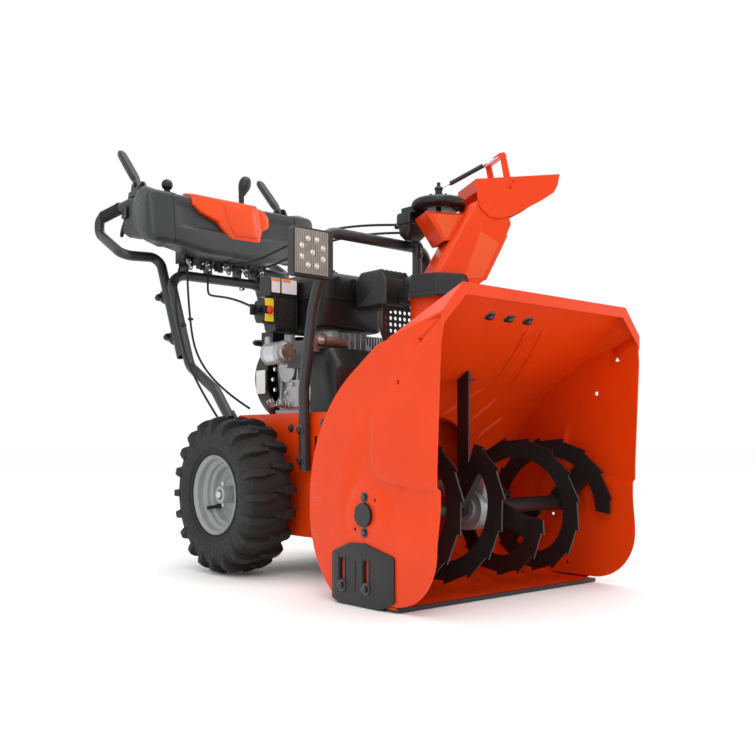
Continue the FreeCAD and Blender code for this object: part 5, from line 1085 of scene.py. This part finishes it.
def crowned_box(build, low, high, radius, crown, steps=8):
    """A moulded cover: rounded in plan, with a domed top and a soft bottom edge."""
    sections = []
    outline = arc_points(rectangle(low, high, radius), 6)
    centre = Vector(((low.x + high.x) / 2, (low.y + high.y) / 2))
    tall = high.z - low.z
    levels = [(0.0, 7.0), (3.0, 2.5), (8.0, 0.0), (tall - crown, 0.0)]
    for step in range(1, steps + 1):
        angle = math.pi / 2 * step / steps
        levels.append((tall - crown + crown * math.sin(angle), crown * 1.15 * (1 - math.cos(angle))))
    for level, inset in levels:
        scale_x = 1 - inset / ((high.x - low.x) / 2)
        scale_y = 1 - inset / ((high.y - low.y) / 2)
        sections.append([Vector((centre.x + (x - centre.x) * scale_x, centre.y + (y - centre.y) * scale_y,
                                 low.z + level)) for x, y in outline])
    loft(build, sections)


def fuel_tank():
    """Rounded black tank with a welded seam, filler neck, ribbed cap and strap ribs."""
    low, high, centre = span("fuel_tank")
    top = 732
    build = bmesh.new()
    crowned_box(build, Vector((low.x + 3, low.y + 3, low.z)), Vector((high.x - 3, high.y - 3, top)), 34, 30)
    panel(build, low, high, 36, "XY", 662, 6.5)
    for shift in (-52, 0, 52):
        panel(build, (centre.x + shift - 7, 676), (centre.x + shift + 7, 716), 3, "XZ", low.y + 1.4, 6)
    mesh_piece("tank_shell", build, "black_plastic", "chassis", ("fuel_tank",), sharp=38)
    cap = bmesh.new()
    spot = Vector((24, 20, top - 4))
    lathe(cap, ((0, 0), (24, 0), (24, 8), (21, 9), (0, 9)), spot, UP, 40)
    sections = []
    for radius, level in ((26.5, 9), (27, 12), (27, 20), (25, 23.5), (16, 24.5)):
        ripple = 0.9 if level < 22 else 0.0
        sections.append([spot + polar(radius - ripple * ((k // 2) % 2), 2 * math.pi * k / 96, level)
                         for k in range(96)])
    loft(cap, sections)
    panel(cap, (spot.x - 21, spot.y - 4.5), (spot.x + 21, spot.y + 4.5), 4, "XY", spot.z + 24, 7.5)
    mesh_piece("tank_cap", cap, "knob_plastic", "chassis", sharp=35)


def air_hood():
    """Hood beside the tank: upper slab with blank labels, case, choke box with its yellow plate and key."""
    build = bmesh.new()
    prism(build, ((-31, 669, 4), (-31, 712, 11), (8, 716, 11), (17, 706, 8), (17, 669, 4)), "YZ", -190, 82)
    prism(build, ((-30, 582, 7), (-30, 669), (17, 669), (17, 590, 7), (8, 582, 6)), "YZ", -176, 68)
    prism(build, ((-27, 610, 6), (-27, 660, 6), (16, 655, 8), (16, 616, 8), (8, 602, 6), (-18, 602, 6)), "YZ",
          -206, 31)
    mesh_piece("hood_moulding", build, "black_plastic", "chassis", ("engine_hood",), bevel=2.2)
    trim = bmesh.new()
    panel(trim, (-192, -33), (-106, 18), 3, "XY", 666, 3.2)
    panel(trim, (-166, 590), (-120, 662), 6, "XZ", -33.2, 4)
    for x in (-170, -116):
        panel(trim, (x - 1.6, 588), (x + 1.6, 664), 1, "XZ", -34.4, 5)
    mesh_piece("hood_trim", trim, "knob_plastic", "chassis", bevel=0.8)
    plates = (
        ("hood_plates", "label_white", 0.3, -32.2, 2,
         (((-187, 674), (-163, 708), 2.5), ((-158, 674), (-114, 708), 2.5))),
        ("hood_bands", "label_orange", 0.2, -32.6, 1, (((-186.4, 701), (-163.6, 707.4), 2),
                                                       ((-157.4, 701), (-132, 707.4), 2))),
        ("start_plates", "label_yellow", 0.3, -28.0, 2, (((-203.5, 641), (-179, 659), 2),
                                                         ((-203.5, 604), (-179, 622), 2),
                                                         ((-183, 620), (-179, 643), 1))),
    )
    for name, material, bevel, y, depth, outlines in plates:
        build = bmesh.new()
        for low, high, radius in outlines:
            panel(build, low, high, radius, "XZ", y, depth)
        mesh_piece(name, build, material, "chassis", bevel=bevel)
    knob = bmesh.new()
    lathe(knob, ((0, 0), (7, 0), (8.4, 2), (8.4, 8), (6.6, 11.5), (0, 13)), (-192, -27, 631), -BACK, 30)
    mesh_piece("choke_knob", knob, "red_knob", "chassis", sharp=50)
    pivot = pivot_of("key")
    key = bmesh.new()
    lathe(key, ((0, -8), (5.9, -8), (5.9, 7), (13.6, 8), (14, 9.5), (13.4, 12), (0, 12)), pivot, -ACROSS, 36)
    panel(key, (pivot.y - 3, pivot.z - 13), (pivot.y + 3, pivot.z + 13), 3, "YZ", pivot.x - 23.5, 12)
    mesh_piece("key_dial", key, "knob_plastic", "key", ("ignition_key",), bevel=0.6)


def starter():
    """Electric starter: drawn can, cast nose, end bell with screws, foot and a blank plate."""
    low, _, _ = span("starter_motor")
    axis_x, axis_z = low.x + 28, 532
    build = bmesh.new()
    spot = Vector((axis_x, low.y, axis_z))
    lathe(build, ((0, 0), (20, 0), (22, 2), (22.5, 9), (27.5, 10.5), (28, 13), (28, 20), (27.2, 21),
                  (27.2, 70), (28, 71),
                  (28, 78), (25, 84), (19, 92), (12, 94), (0, 94)), spot, BACK, 56)
    for k in range(3):
        angle = 2 * math.pi * k / 3 + 0.6
        place = spot + Vector((17 * math.cos(angle), 0.5, 17 * math.sin(angle)))
        bolt_head(build, place, -BACK, 7, 0.6, 3)
    block(build, (-150, -43, 496), (-89, -19, 518))
    prism(build, ((-150, 496, 6), (-92, 496, 6), (-92, 540, 8), (-150, 516, 6)), "XZ", -36, 8)
    lathe(build, ((0, 0), (9, 0), (9, 16), (7.5, 18), (0, 18)), (axis_x, 28, 556), UP, 24)
    mesh_piece("starter_can", build, "engine_metal", "chassis", ("starter_motor",), sharp=32)
    plate = bmesh.new()
    sections = []
    for y in (low.y + 26, low.y + 66):
        angles = [math.radians(140 + 90 * k / 12) for k in range(13)]
        rim_points = [(28.0, angle) for angle in angles] + [(26.5, angle) for angle in reversed(angles)]
        sections.append([Vector((axis_x + r * math.cos(angle), y, axis_z + r * math.sin(angle)))
                         for r, angle in rim_points])
    loft(plate, sections)
    mesh_piece("starter_plate", plate, "silver_zinc", "chassis", sharp=40)
    rusty = bmesh.new()
    lathe(rusty, ((0, 0), (20.5, 0), (20.5, 3), (0, 4)), spot + Vector((0, -3, 0)), BACK, 40)
    mesh_piece("starter_cap", rusty, "manifold", "chassis", sharp=40)


def crankcase_dressing():
    """Ribs, flanges, plugs and bolts on the engine's visible castings."""
    build = bmesh.new()
    left = -86.0
    for i in range(5):
        top = 512 - 8 * abs(i - 2)
        prism(build, ((left - 6, 402, 1), (left + 3, 402, 1), (left + 3, top, 1), (left - 2, top, 1)), "XZ",
              -70 + i * 34, 5)
    prism(build, ((-70, 404, 8), (30, 404, 8), (44, 440, 10), (20, 470, 14), (-58, 470, 14)), "YZ", left - 9,
          10)
    for y, z in ((-60, 412), (20, 412), (34, 440), (-46, 460), (8, 460)):
        bolt_head(build, (left - 9, y, z), -ACROSS, 10, 1.2, 5)
    lathe(build, ((0, 0), (13, 0), (13, 12), (11, 14), (11, 22), (0, 22)), (left + 4, 52, 414), -ACROSS, 28)
    lathe(build, ((0, 0), (30, 0), (34, 3), (34, 9), (0, 9)), (left + 2, 40, 500), -ACROSS, 40)
    mesh_piece("crankcase_ribs", build, "engine_metal", "chassis", bevel=0.8)
    plug = bmesh.new()
    hexagon(plug, 17, 8, (left - 17, 52, 414), -ACROSS)
    lathe(plug, ((0, 0), (6, 0), (7, 8), (9, 12), (9, 20), (0, 22)), (-120, 60, 404), (-0.4, 0.2, 1), 20)
    mesh_piece("oil_plug", plug, "silver_zinc", "chassis", bevel=0.5)


def recoil_side():
    """Blower housing screws and plate, and the grip of the pull starter."""
    low, high, centre = span("recoil_handle")
    build = bmesh.new()
    sections = []
    for step in range(13):
        share = step / 12
        swell = 7.4 + 1.6 * math.sin(math.pi * share) if 0 < step < 12 else 4.0
        middle = Vector((low.x + (high.x - low.x) * share, high.y - 8, centre.z))
        sections.append(oval(middle, BACK * swell * 0.95, UP * swell, 18))
    loft(build, sections)
    lathe(build, ((0, 0), (4.9, 0), (4.9, 28), (7, 30), (7.4, 38), (0, 38)), (centre.x, low.y + 1, centre.z),
          BACK, 24)
    mesh_piece("recoil_grip", build, "knob_plastic", "recoil", ("recoil_handle",), sharp=50)
    ring = bmesh.new()
    hub = Vector((0, span("engine_shroud")[0].y + 50.5, 480))
    for i in range(9):
        angle = math.radians(20 + 40 * i)
        spot = hub + Vector((105 * math.cos(angle), 0, 105 * math.sin(angle)))
        if spot.z > 392:
            bolt_head(ring, spot, BACK, 8, 1.0, 4)
    mesh_piece("shroud_screws", ring, "zinc_bolts", "chassis", bevel=0.3)
    plate = bmesh.new()
    panel(plate, (106, 440), (146, 500), 3, "YZ", -113.2, 2)
    mesh_piece("shroud_plate", plate, "label_white", "chassis", bevel=0.4)


def swollen(outline, middle, grow):
    """A flat outline pushed out from its middle by a fixed distance, in or out."""
    return [middle + (point - middle) * (1 + grow / (point - middle).length) for point in outline]


def belt_cover():
    """Moulded belt cover: sloped shoulders, ribs and hold-down bolts."""
    low, high, _ = span("belt_cover")
    outline = arc_points(((low.y, low.z, 3), (low.y, 494, 14), (low.y + 34, high.z - 2, 12),
                          (high.y, high.z, 4),
                          (high.y, low.z, 3)), 6)
    middle = Vector(((low.y + high.y) / 2, 450))
    shoulder = ((0, -10), (4, -5), (11, -1), (18, 0))
    stations = [(low.x + inset, grow) for inset, grow in shoulder]
    stations += [(high.x - inset, grow) for inset, grow in reversed(shoulder)]
    rows = []
    for x, grow in stations:
        pulled = swollen(outline, middle, grow)
        rows.append(lift([point if point.y < low.z + 4 else moved for point, moved in zip(outline, pulled)],
                         "YZ", x))
    build = bmesh.new()
    loft(build, rows)
    mesh_piece("belt_cover_moulding", build, "black_plastic", "chassis", ("belt_cover",), sharp=44)
    trim = bmesh.new()
    for x in (-80, 0, 80):
        prism(trim, ((low.y - 1.6, low.z + 6, 1), (low.y + 3, low.z + 6, 1), (low.y + 3, 480, 1),
                     (low.y - 1.6, 474, 1)), "YZ", x - 3, 6)
    for x in (low.x + 12, high.x - 12):
        bolt_head(trim, (x, low.y - 0.2, low.z + 16), -BACK, 10, 1.4, 5)
    mesh_piece("belt_cover_ribs", trim, "black_plastic", "chassis", bevel=0.8)


def muffler():
    """Exhaust: folded box with seams and louvres, outlet, heat-browned pipe and its flange."""
    build = bmesh.new()
    front, rear = -225, -117
    outline = arc_points(((front, 641, 8), (front, 704, 8), (front + 17, 727, 8), (rear - 17, 727, 8),
                          (rear, 704, 8),
                          (rear, 641, 8)))
    middle = Vector(((front + rear) / 2, 684))
    loft(build, [lift(swollen(outline, middle, grow), "YZ", x) for x, grow in (
        (0, -5), (2, -1.5), (5, 0), (6, 1.6), (9, 1.6), (10, 0), (80, 0), (81, 1.6), (84, 1.6), (85, 0),
        (88, -1.5),
        (90, -5))])
    for i in range(5):
        prism(build, ((front + 22, 728, 1), (rear - 22, 728, 1), (rear - 26, 730, 1), (front + 26, 730, 1)),
              "YZ",
              16 + i * 14, 5)
    mesh_piece("muffler_box", build, "muffler_steel", "chassis", ("muffler",), sharp=36)
    curve_piece("exhaust_pipe", [[(146, -40, 552), (150, -66, 552), (140, -92, 554), (96, -130, 574),
                                  (56, -160, 592),
                                  (50, -168, 612), (50, -168, 645)]], 12.5, "manifold", "chassis")
    pipe = bmesh.new()
    lathe(pipe, ((0, 0), (17, 0), (17, 4), (11.5, 5.5), (11.5, 14), (0, 14)), (-128, -116, 529), UP, 32)
    path = smooth_path(((-128, -116, 540), (-127, -116, 550), (-116, -116, 556), (-84, -116, 556),
                        (-28, -116, 555)), 6)
    rows = []
    for i, point in enumerate(path):
        radius = 11.2 * (1.0 + 0.18 * math.sin(i / len(path) * math.pi))
        rows.append(oval(point, direction(path, i).cross(BACK) * radius, BACK * radius, 24))
    loft(pipe, rows)
    lathe(pipe, ((0, 0), (19, 0), (19, 4), (12, 6), (0, 6)), (-100, -116, 556), ACROSS, 30)
    mesh_piece("manifold_pipe", pipe, "manifold", "chassis", sharp=40)
    nut = bmesh.new()
    bolt_head(nut, (-112, -128, 556), -BACK, 11, 1.6, 6, 5)
    mesh_piece("manifold_nut", nut, "silver_zinc", "chassis", bevel=0.3)


# -------------------------------------------------------------------- chute

def spring_coil(name, start, end, radius, wire, turns, body, stands_for=()):
    """Close-wound extension spring with a straight hook at each end."""
    axis = (end - start).normalized()
    turn = facing(axis)
    length = (end - start).length
    hook = length * 0.08
    points = [start, start + axis * hook * 0.5]
    per_turn = 10
    for i in range(turns * per_turn + 1):
        angle = 2 * math.pi * i / per_turn
        level = hook + (length - 2 * hook) * i / (turns * per_turn)
        points.append(start + turn @ polar(radius, angle, level))
    points += [end - axis * hook * 0.5, end]
    curve_piece(name, [points], wire, "spring_steel", body, stands_for, order=3)


# ------------------------------------------------------------------- cables

def cable_ties():
    """Ties and the adjuster barrels that hold the control cables."""
    build = bmesh.new()
    for place, axis in (((-141, 436, 660), (0, -0.3, -1)), ((141, 436, 660), (0, -0.3, -1)),
                        ((-40, 330, 742), (-1, -1, 0))):
        lathe(build, ((3.4, -3), (5.4, -3), (5.4, 3), (3.4, 3)), place, axis, 20)
        spot = Vector(place) + Vector((5.5, 0, 0))
        block(build, spot - Vector((1.5, 3, 3)), spot + Vector((4, 3, 3)))
    mesh_piece("cable_ties", build, "belt_rubber", "chassis", bevel=0.4)


TUBE_SIDE_RUN = ((128, 470, 826), (134, 462, 800), (140, 452, 760), (141, 436, 660), (142, 410, 560),
                 (140, 300, 470),
                 (120, 210, 420), (112, 178.5, 404))


def cables():
    """Control cables: the CAD routes drawn again as smooth sagging lines."""
    runs = [
        *([(sign * x, y, z) for x, y, z in TUBE_SIDE_RUN] for _, sign in SIDES),
        [(-60, 470, 826), (-90, 430, 742), (-140, 340, 712), (-150, 240, 700), (-152, 140, 672),
         (-150, 93, 650)],
        [(-20, 462, 838), (0, 380, 812), (30, 240, 850), (50, 60, 880), (70, -100, 862), (72, -209, 842)],
        [(20, 462, 832), (40, 380, 800), (62, 240, 830), (76, 60, 858), (94, -100, 845), (92, -209, 826)],
        [(-140, 486, 826), (-180, 470, 740), (-190, 400, 560), (-176, 280, 420), (-160, 200, 330),
         (-151, 150, 300)],
    ]
    curve_piece("control_cable_runs", runs, 3.0, "belt_rubber", "chassis", ("control_cables",))


# -------------------------------------------------------------------- bolts

def fasteners():
    """Every visible bolt of the CAD group again, with flanges, chamfers and threads."""
    build = bmesh.new()
    _, _, shaft = span("auger_shaft")
    for side, sign in SIDES:
        out = ACROSS * sign
        skid_low, skid_high, _ = span("skid_shoe_" + side)
        face = skid_high.x if sign > 0 else skid_low.x
        for y in SKID_SLOTS:
            bolt_head(build, (face + sign * 0.2, y, 37), out, 13, 2.2, 5.5, 3.5)
        for rise in (34, -34):
            bolt_head(build, (sign * HOUSING_HALF, shaft.y, shaft.z + rise), out, 11, 1.4, 4.8)
        for y, z in ((-185, 360), (-185, 130), (-60, 350), (130, 130), (-30, 130)):
            bolt_head(build, (sign * 150, y, z), out, 11, 1.4, 4.8)
        for x, y, z in ((177.7, -133.5, 275), (177.7, -132, 345), (160.3, 126, 306.4), (160.3, 163, 346)):
            bolt_head(build, (sign * x, y, z), out, 13, 1.6, 5.8)
    tree = shell_surface()
    for x in (-112, -56, 0):
        spot, normal, _, _ = tree.ray_cast(Vector((x, -660, 300)), UP)
        bolt_head(build, spot + Vector((0, 0, 0.3)), normal if normal.z < 0 else -normal, 13, 1.6, 6, 3)
    mesh_piece("bolt_set", build, "zinc_bolts", "chassis", ("fasteners",), bevel=0.35)


def smooth_cad(label, angle=32.0):
    """Soft shading for a CAD node that is shown as it is."""
    mesh = frame["nodes"][label].data
    mesh.polygons.foreach_set("use_smooth", [True] * len(mesh.polygons))
    mesh.set_sharp_from_angle(angle=math.radians(angle))


# ------------------------------------------------- chute and its turning head

def chute_frame():
    """The chute's turning axis on the ground plane, and its forward and sideways directions."""
    foot = pivot_of("chute")
    foot.z = 0.0
    hinge = next(joint for joint in frame["joints"] if joint["name"] == "deflector_tilt")
    sideways = Vector(hinge["axis"]).normalized()
    return foot, Vector((sideways.y, -sideways.x, 0.0)), sideways


CHUTE_FOOT, FORWARD, SIDEWAYS = chute_frame()
CHUTE_HALF = 58.0
CHUTE_BASE = 656.0


def on_chute(forward, sideways, level):
    """A point measured from the chute's turning axis."""
    return CHUTE_FOOT + FORWARD * forward + SIDEWAYS * sideways + UP * level


def chute_prism(build, corners, start, depth):
    """A (forward, height) outline drawn across the chute."""
    outline = arc_points(corners)
    loft(build, [[on_chute(a, start, b) for a, b in outline],
                 [on_chute(a, start + depth, b) for a, b in outline]])


CHUTE_STATIONS = (((-50, 667), (62, 667)), ((-44, 684), (93, 690)), ((-27, 709), (104, 712)),
                  ((2, 761), (125, 753)),
                  ((30, 812), (146, 796)), ((58, 862), (157, 822)), ((66, 868), (148, 850)),
                  ((76, 874), (136, 880)))


def chute_channel():
    """Folded chute: a channel with round back corners, hemmed front edges and stiffeners."""
    build = bmesh.new()
    sections = []
    half = CHUTE_HALF
    for back, tip in CHUTE_STATIONS:
        back, tip = Vector(back), Vector(tip)
        depth = (tip - back).length
        run = (tip - back) / depth
        corners = ((-half, depth), (-half, 0, 17), (half, 0, 17), (half, depth), (half - 3, depth),
                   (half - 3, 3, 14),
                   (3 - half, 3, 14), (3 - half, depth))
        section = []
        for across, deep in arc_points(corners, 8):
            spot = back + run * deep
            section.append(on_chute(spot.x, across, spot.y))
        sections.append(section)
    loft(build, sections)
    for collar in (((62, 0.6), (72, 0.6), (72, 4.6), (62, 4.6)), ((56, 0.6), (62, 0.6), (62, 20), (56, 20))):
        lathe(build, collar, CHUTE_FOOT + UP * CHUTE_BASE, UP, 64)
    for start in (-42, 39):
        chute_prism(build, ((-44, 843, 4), (48, 843, 2), (14, 781), (-2, 777, 4)), start, 3)
    chute_prism(build, ((-45, 841), (-41.5, 843), (2, 779), (-1.5, 777)), -41.5, 83)
    chute_prism(build, ((-44, 840), (50, 840), (50, 843.5), (-44, 843.5)), -42, 84)
    mesh_piece("chute_channel", build, "orange_paint", "chute", ("chute",), sharp=30)
    hems = [[on_chute(tip[0], across, tip[1]) for _, tip in CHUTE_STATIONS[1:-3]]
            for across in (1.5 - half, half - 1.5)]
    curve_piece("chute_hems", hems, 3.4, "orange_paint", "chute", kind="POLY")
    panels = bmesh.new()
    chute_prism(panels, ((-30, 839, 2), (36, 839, 2), (10, 787, 3), (2, 785, 3)), -42.9, 1.0)
    chute_prism(panels, ((40, 690, 2), (88, 694, 2), (128, 776, 2), (82, 800, 2)), -CHUTE_HALF - 0.7, 1.0)
    mesh_piece("chute_panels", panels, "pale_orange", "chute", bevel=0.3)
    pin = bmesh.new()
    lathe(pin, ((0, 841), (6, 841), (6, 884), (0, 884)), CHUTE_FOOT, UP, 24)
    lathe(pin, ((0, 884), (11, 884), (11, 887), (8.6, 888), (9.4, 896), (6, 898), (0, 898)), CHUTE_FOOT, UP,
          28)
    hexagon(pin, 15, 8, CHUTE_FOOT + UP * 897, UP)
    lathe(pin, ((0, 904), (9, 904), (10.5, 908), (8, 912), (4.2, 913), (4.2, 922), (0, 923)), CHUTE_FOOT, UP,
          24)
    mesh_piece("chute_stud", pin, "black_plastic", "chute", bevel=0.4)


def chute_head():
    """Turning head: domed cap, drive housing with cable entries, post and brace to the light bar."""
    build = bmesh.new()
    lathe(build, ((6.2, 858), (36, 858), (38, 861), (56, 861), (61, 863), (63, 866), (63.6, 870), (62, 876),
                  (56, 880.5),
                  (44, 883.6), (28, 885), (14, 885.4), (6.2, 885)), CHUTE_FOOT, UP, 72)
    for i in range(5):
        spot = CHUTE_FOOT + polar(52, math.radians(205 + 38 * i), 880.5)
        lathe(build, ((0, 0), (3.6, 0), (3.2, 2.4), (0, 2.8)), spot, UP, 16)
    levels = ((862, 0, 0), (858, 1.5, 2), (836, 1.5, 2), (834, -1, -1), (812, -3, -4), (800, -12, -12),
              (798, -16, -15))
    sections = []
    for level, wide, deep in levels:
        plan = rectangle((46 - wide, -260 - deep), (112 + wide, -216 + deep), 9)
        sections.append(lift(arc_points(plan), "XY", level))
    loft(build, sections)
    panel(build, (56, -300), (108, -218), 8, "XY", 861, 15)
    for x, z in ((72, 842), (92, 826)):
        lathe(build, ((0, -24), (7.5, -24), (7.5, -6), (10.5, -5), (10.5, 4), (0, 4)), (x, -212, z), -BACK,
              24)
    mesh_piece("head_housing", build, "black_plastic", "chassis", ("chute_head",), sharp=36)
    post = bmesh.new()
    for low, high, radius, level, tall in (((96, -236), (114, -216), 5, 341, 460),
                                           ((90, -240), (120, -204), 4, 331, 11),
                                           ((88, -232), (112, -199), 3, 806, 6)):
        panel(post, low, high, radius, "XY", level, tall)
    for level in (790, 770):
        bolt_head(post, (105, -237, level), -BACK, 10, 1.2, 4.5)
    mesh_piece("head_post", post, "grey_paint", "chassis", bevel=0.8)


def deflector_spring():
    """Extension spring from the head's stud to the bail, with a wire tail and an end link."""
    stud = on_chute(0, 0, 905)
    bail = on_chute(139, -40, 984)
    run = bail - stud
    spring_coil("deflector_coil", stud + run * 0.14, stud + run * 0.76, 4.6, 1.05, 46, "chute",
                ("deflector_spring",))
    curve_piece("spring_wire", [[stud + run * 0.06, stud + run * 0.15],
                                [stud + run * 0.75, stud + run * 0.99]], 1.4,
                "silver_zinc", "chute", kind="POLY")
    build = bmesh.new()
    lathe(build, ((0, 0), (5.4, 0), (5.4, 16), (3.2, 20), (0, 20)), stud + run * 0.76, run, 20)
    mesh_piece("spring_link", build, "silver_zinc", "chute", bevel=0.4)
    bolts = bmesh.new()
    for forward, level in ((162, 923), (154, 912)):
        bolt_head(bolts, on_chute(forward, -CHUTE_HALF - 3.6, level), -SIDEWAYS, 7, 0.8, 3)
    mesh_piece("bail_bolts", bolts, "orange_paint", "deflector", bevel=0.3)


def chute_guard():
    """Eight-sided flared skirt round the foot of the chute, with a thick rim."""
    build = bmesh.new()
    turn = math.atan2(FORWARD.y, FORWARD.x)
    rings = ((93, 643), (94, 645), (94, 651), (92.5, 652), (82, 697), (80.5, 699), (78, 699), (78, 696),
             (89, 652),
             (90, 643))
    loft(build, [[CHUTE_FOOT + polar(radius, turn + math.pi * (2 * k + 1) / 8, level) for k in range(8)]
                 for radius, level in rings], wrapped=True)
    mesh_piece("guard_skirt", build, "black_plastic", "chute", ("chute_guard",), bevel=1.0)


# ------------------------------------------------------------------- camera

def make_camera():
    """A level camera off the front right corner, lens shifted up to frame the machine."""
    data = bpy.data.cameras.new("camera")
    data.sensor_width = 36.0
    data.lens = 44.49
    data.shift_y = 0.0854
    data.clip_start = 0.05
    data.clip_end = 100.0
    camera = new_object("camera", data)
    camera.location = (-1.4747, -1.8753, 0.3165)
    camera.rotation_euler = (math.radians(90), 0.0, math.radians(-41))
    bpy.context.scene.camera = camera


def area_light(name, place, aim, size, power):
    """A soft box at a place, turned towards its aim."""
    data = bpy.data.lights.new(name, "AREA")
    data.shape = "RECTANGLE"
    data.size, data.size_y = size
    data.energy = power
    light = new_object(name, data)
    light.location = place
    light.rotation_mode = "QUATERNION"
    light.rotation_quaternion = (Vector(aim) - Vector(place)).to_track_quat("-Z", "Y")


def make_studio():
    """Pale floor, white surroundings and soft boxes overhead and to the sides."""
    world = bpy.data.worlds.new("studio")
    world.use_nodes = True
    backdrop = world.node_tree.nodes["Background"]
    backdrop.inputs["Color"].default_value = (1.0, 1.0, 1.0, 1.0)
    backdrop.inputs["Strength"].default_value = 1.0
    bpy.context.scene.world = world
    bpy.context.scene.view_settings.view_transform = "Standard"
    area_light("key", (-2.2, -2.6, 3.0), (0.0, -0.2, 0.5), (2.2, 2.2), 40.0)
    area_light("top", (0.3, -0.2, 3.4), (0.0, -0.1, 0.5), (2.6, 2.0), 34.0)
    area_light("fill", (2.8, -1.0, 1.6), (0.0, 0.0, 0.5), (1.6, 2.2), 16.0)
    mesh = bpy.data.meshes.new("floor")
    build = bmesh.new()
    bmesh.ops.create_circle(build, cap_ends=True, segments=96, radius=30.0)
    build.to_mesh(mesh)
    build.free()
    floor = new_object("floor", mesh)
    n = Nodes("floor_paper")
    tone = n.mix(n.ramp(n.noise(1.4, 3.0), 0.0, 1.0), (0.975, 0.975, 0.975), (0.99, 0.99, 0.99))
    n.bump([(n.noise(320.0, 3.0), 0.05, 0.0005)])
    mesh.materials.append(n.finish(tone, n.ramp(n.noise(40.0, 3.0), 0.7, 0.8)))


make_camera()
make_studio()
dress_cad_nodes()
for cad_label in frame["nodes"]:
    smooth_cad(cad_label)
for side_name, side_sign in SIDES:
    tyre(side_name)
    rim(side_name, side_sign)
    side_plate(side_name, side_sign)
    skid_shoe(side_name, side_sign)
    paddle(side_name)
    trigger(side_name)
housing_beads()
lip_seam()
console()
console_cover()
mechanism()
speed_lever()
joystick()
handle_knobs()
handle_grips()
work_light()
fuel_tank()
air_hood()
starter()
crankcase_dressing()
recoil_side()
belt_cover()
muffler()
chute_channel()
chute_guard()
chute_head()
deflector_spring()
cables()
cable_ties()
fasteners()
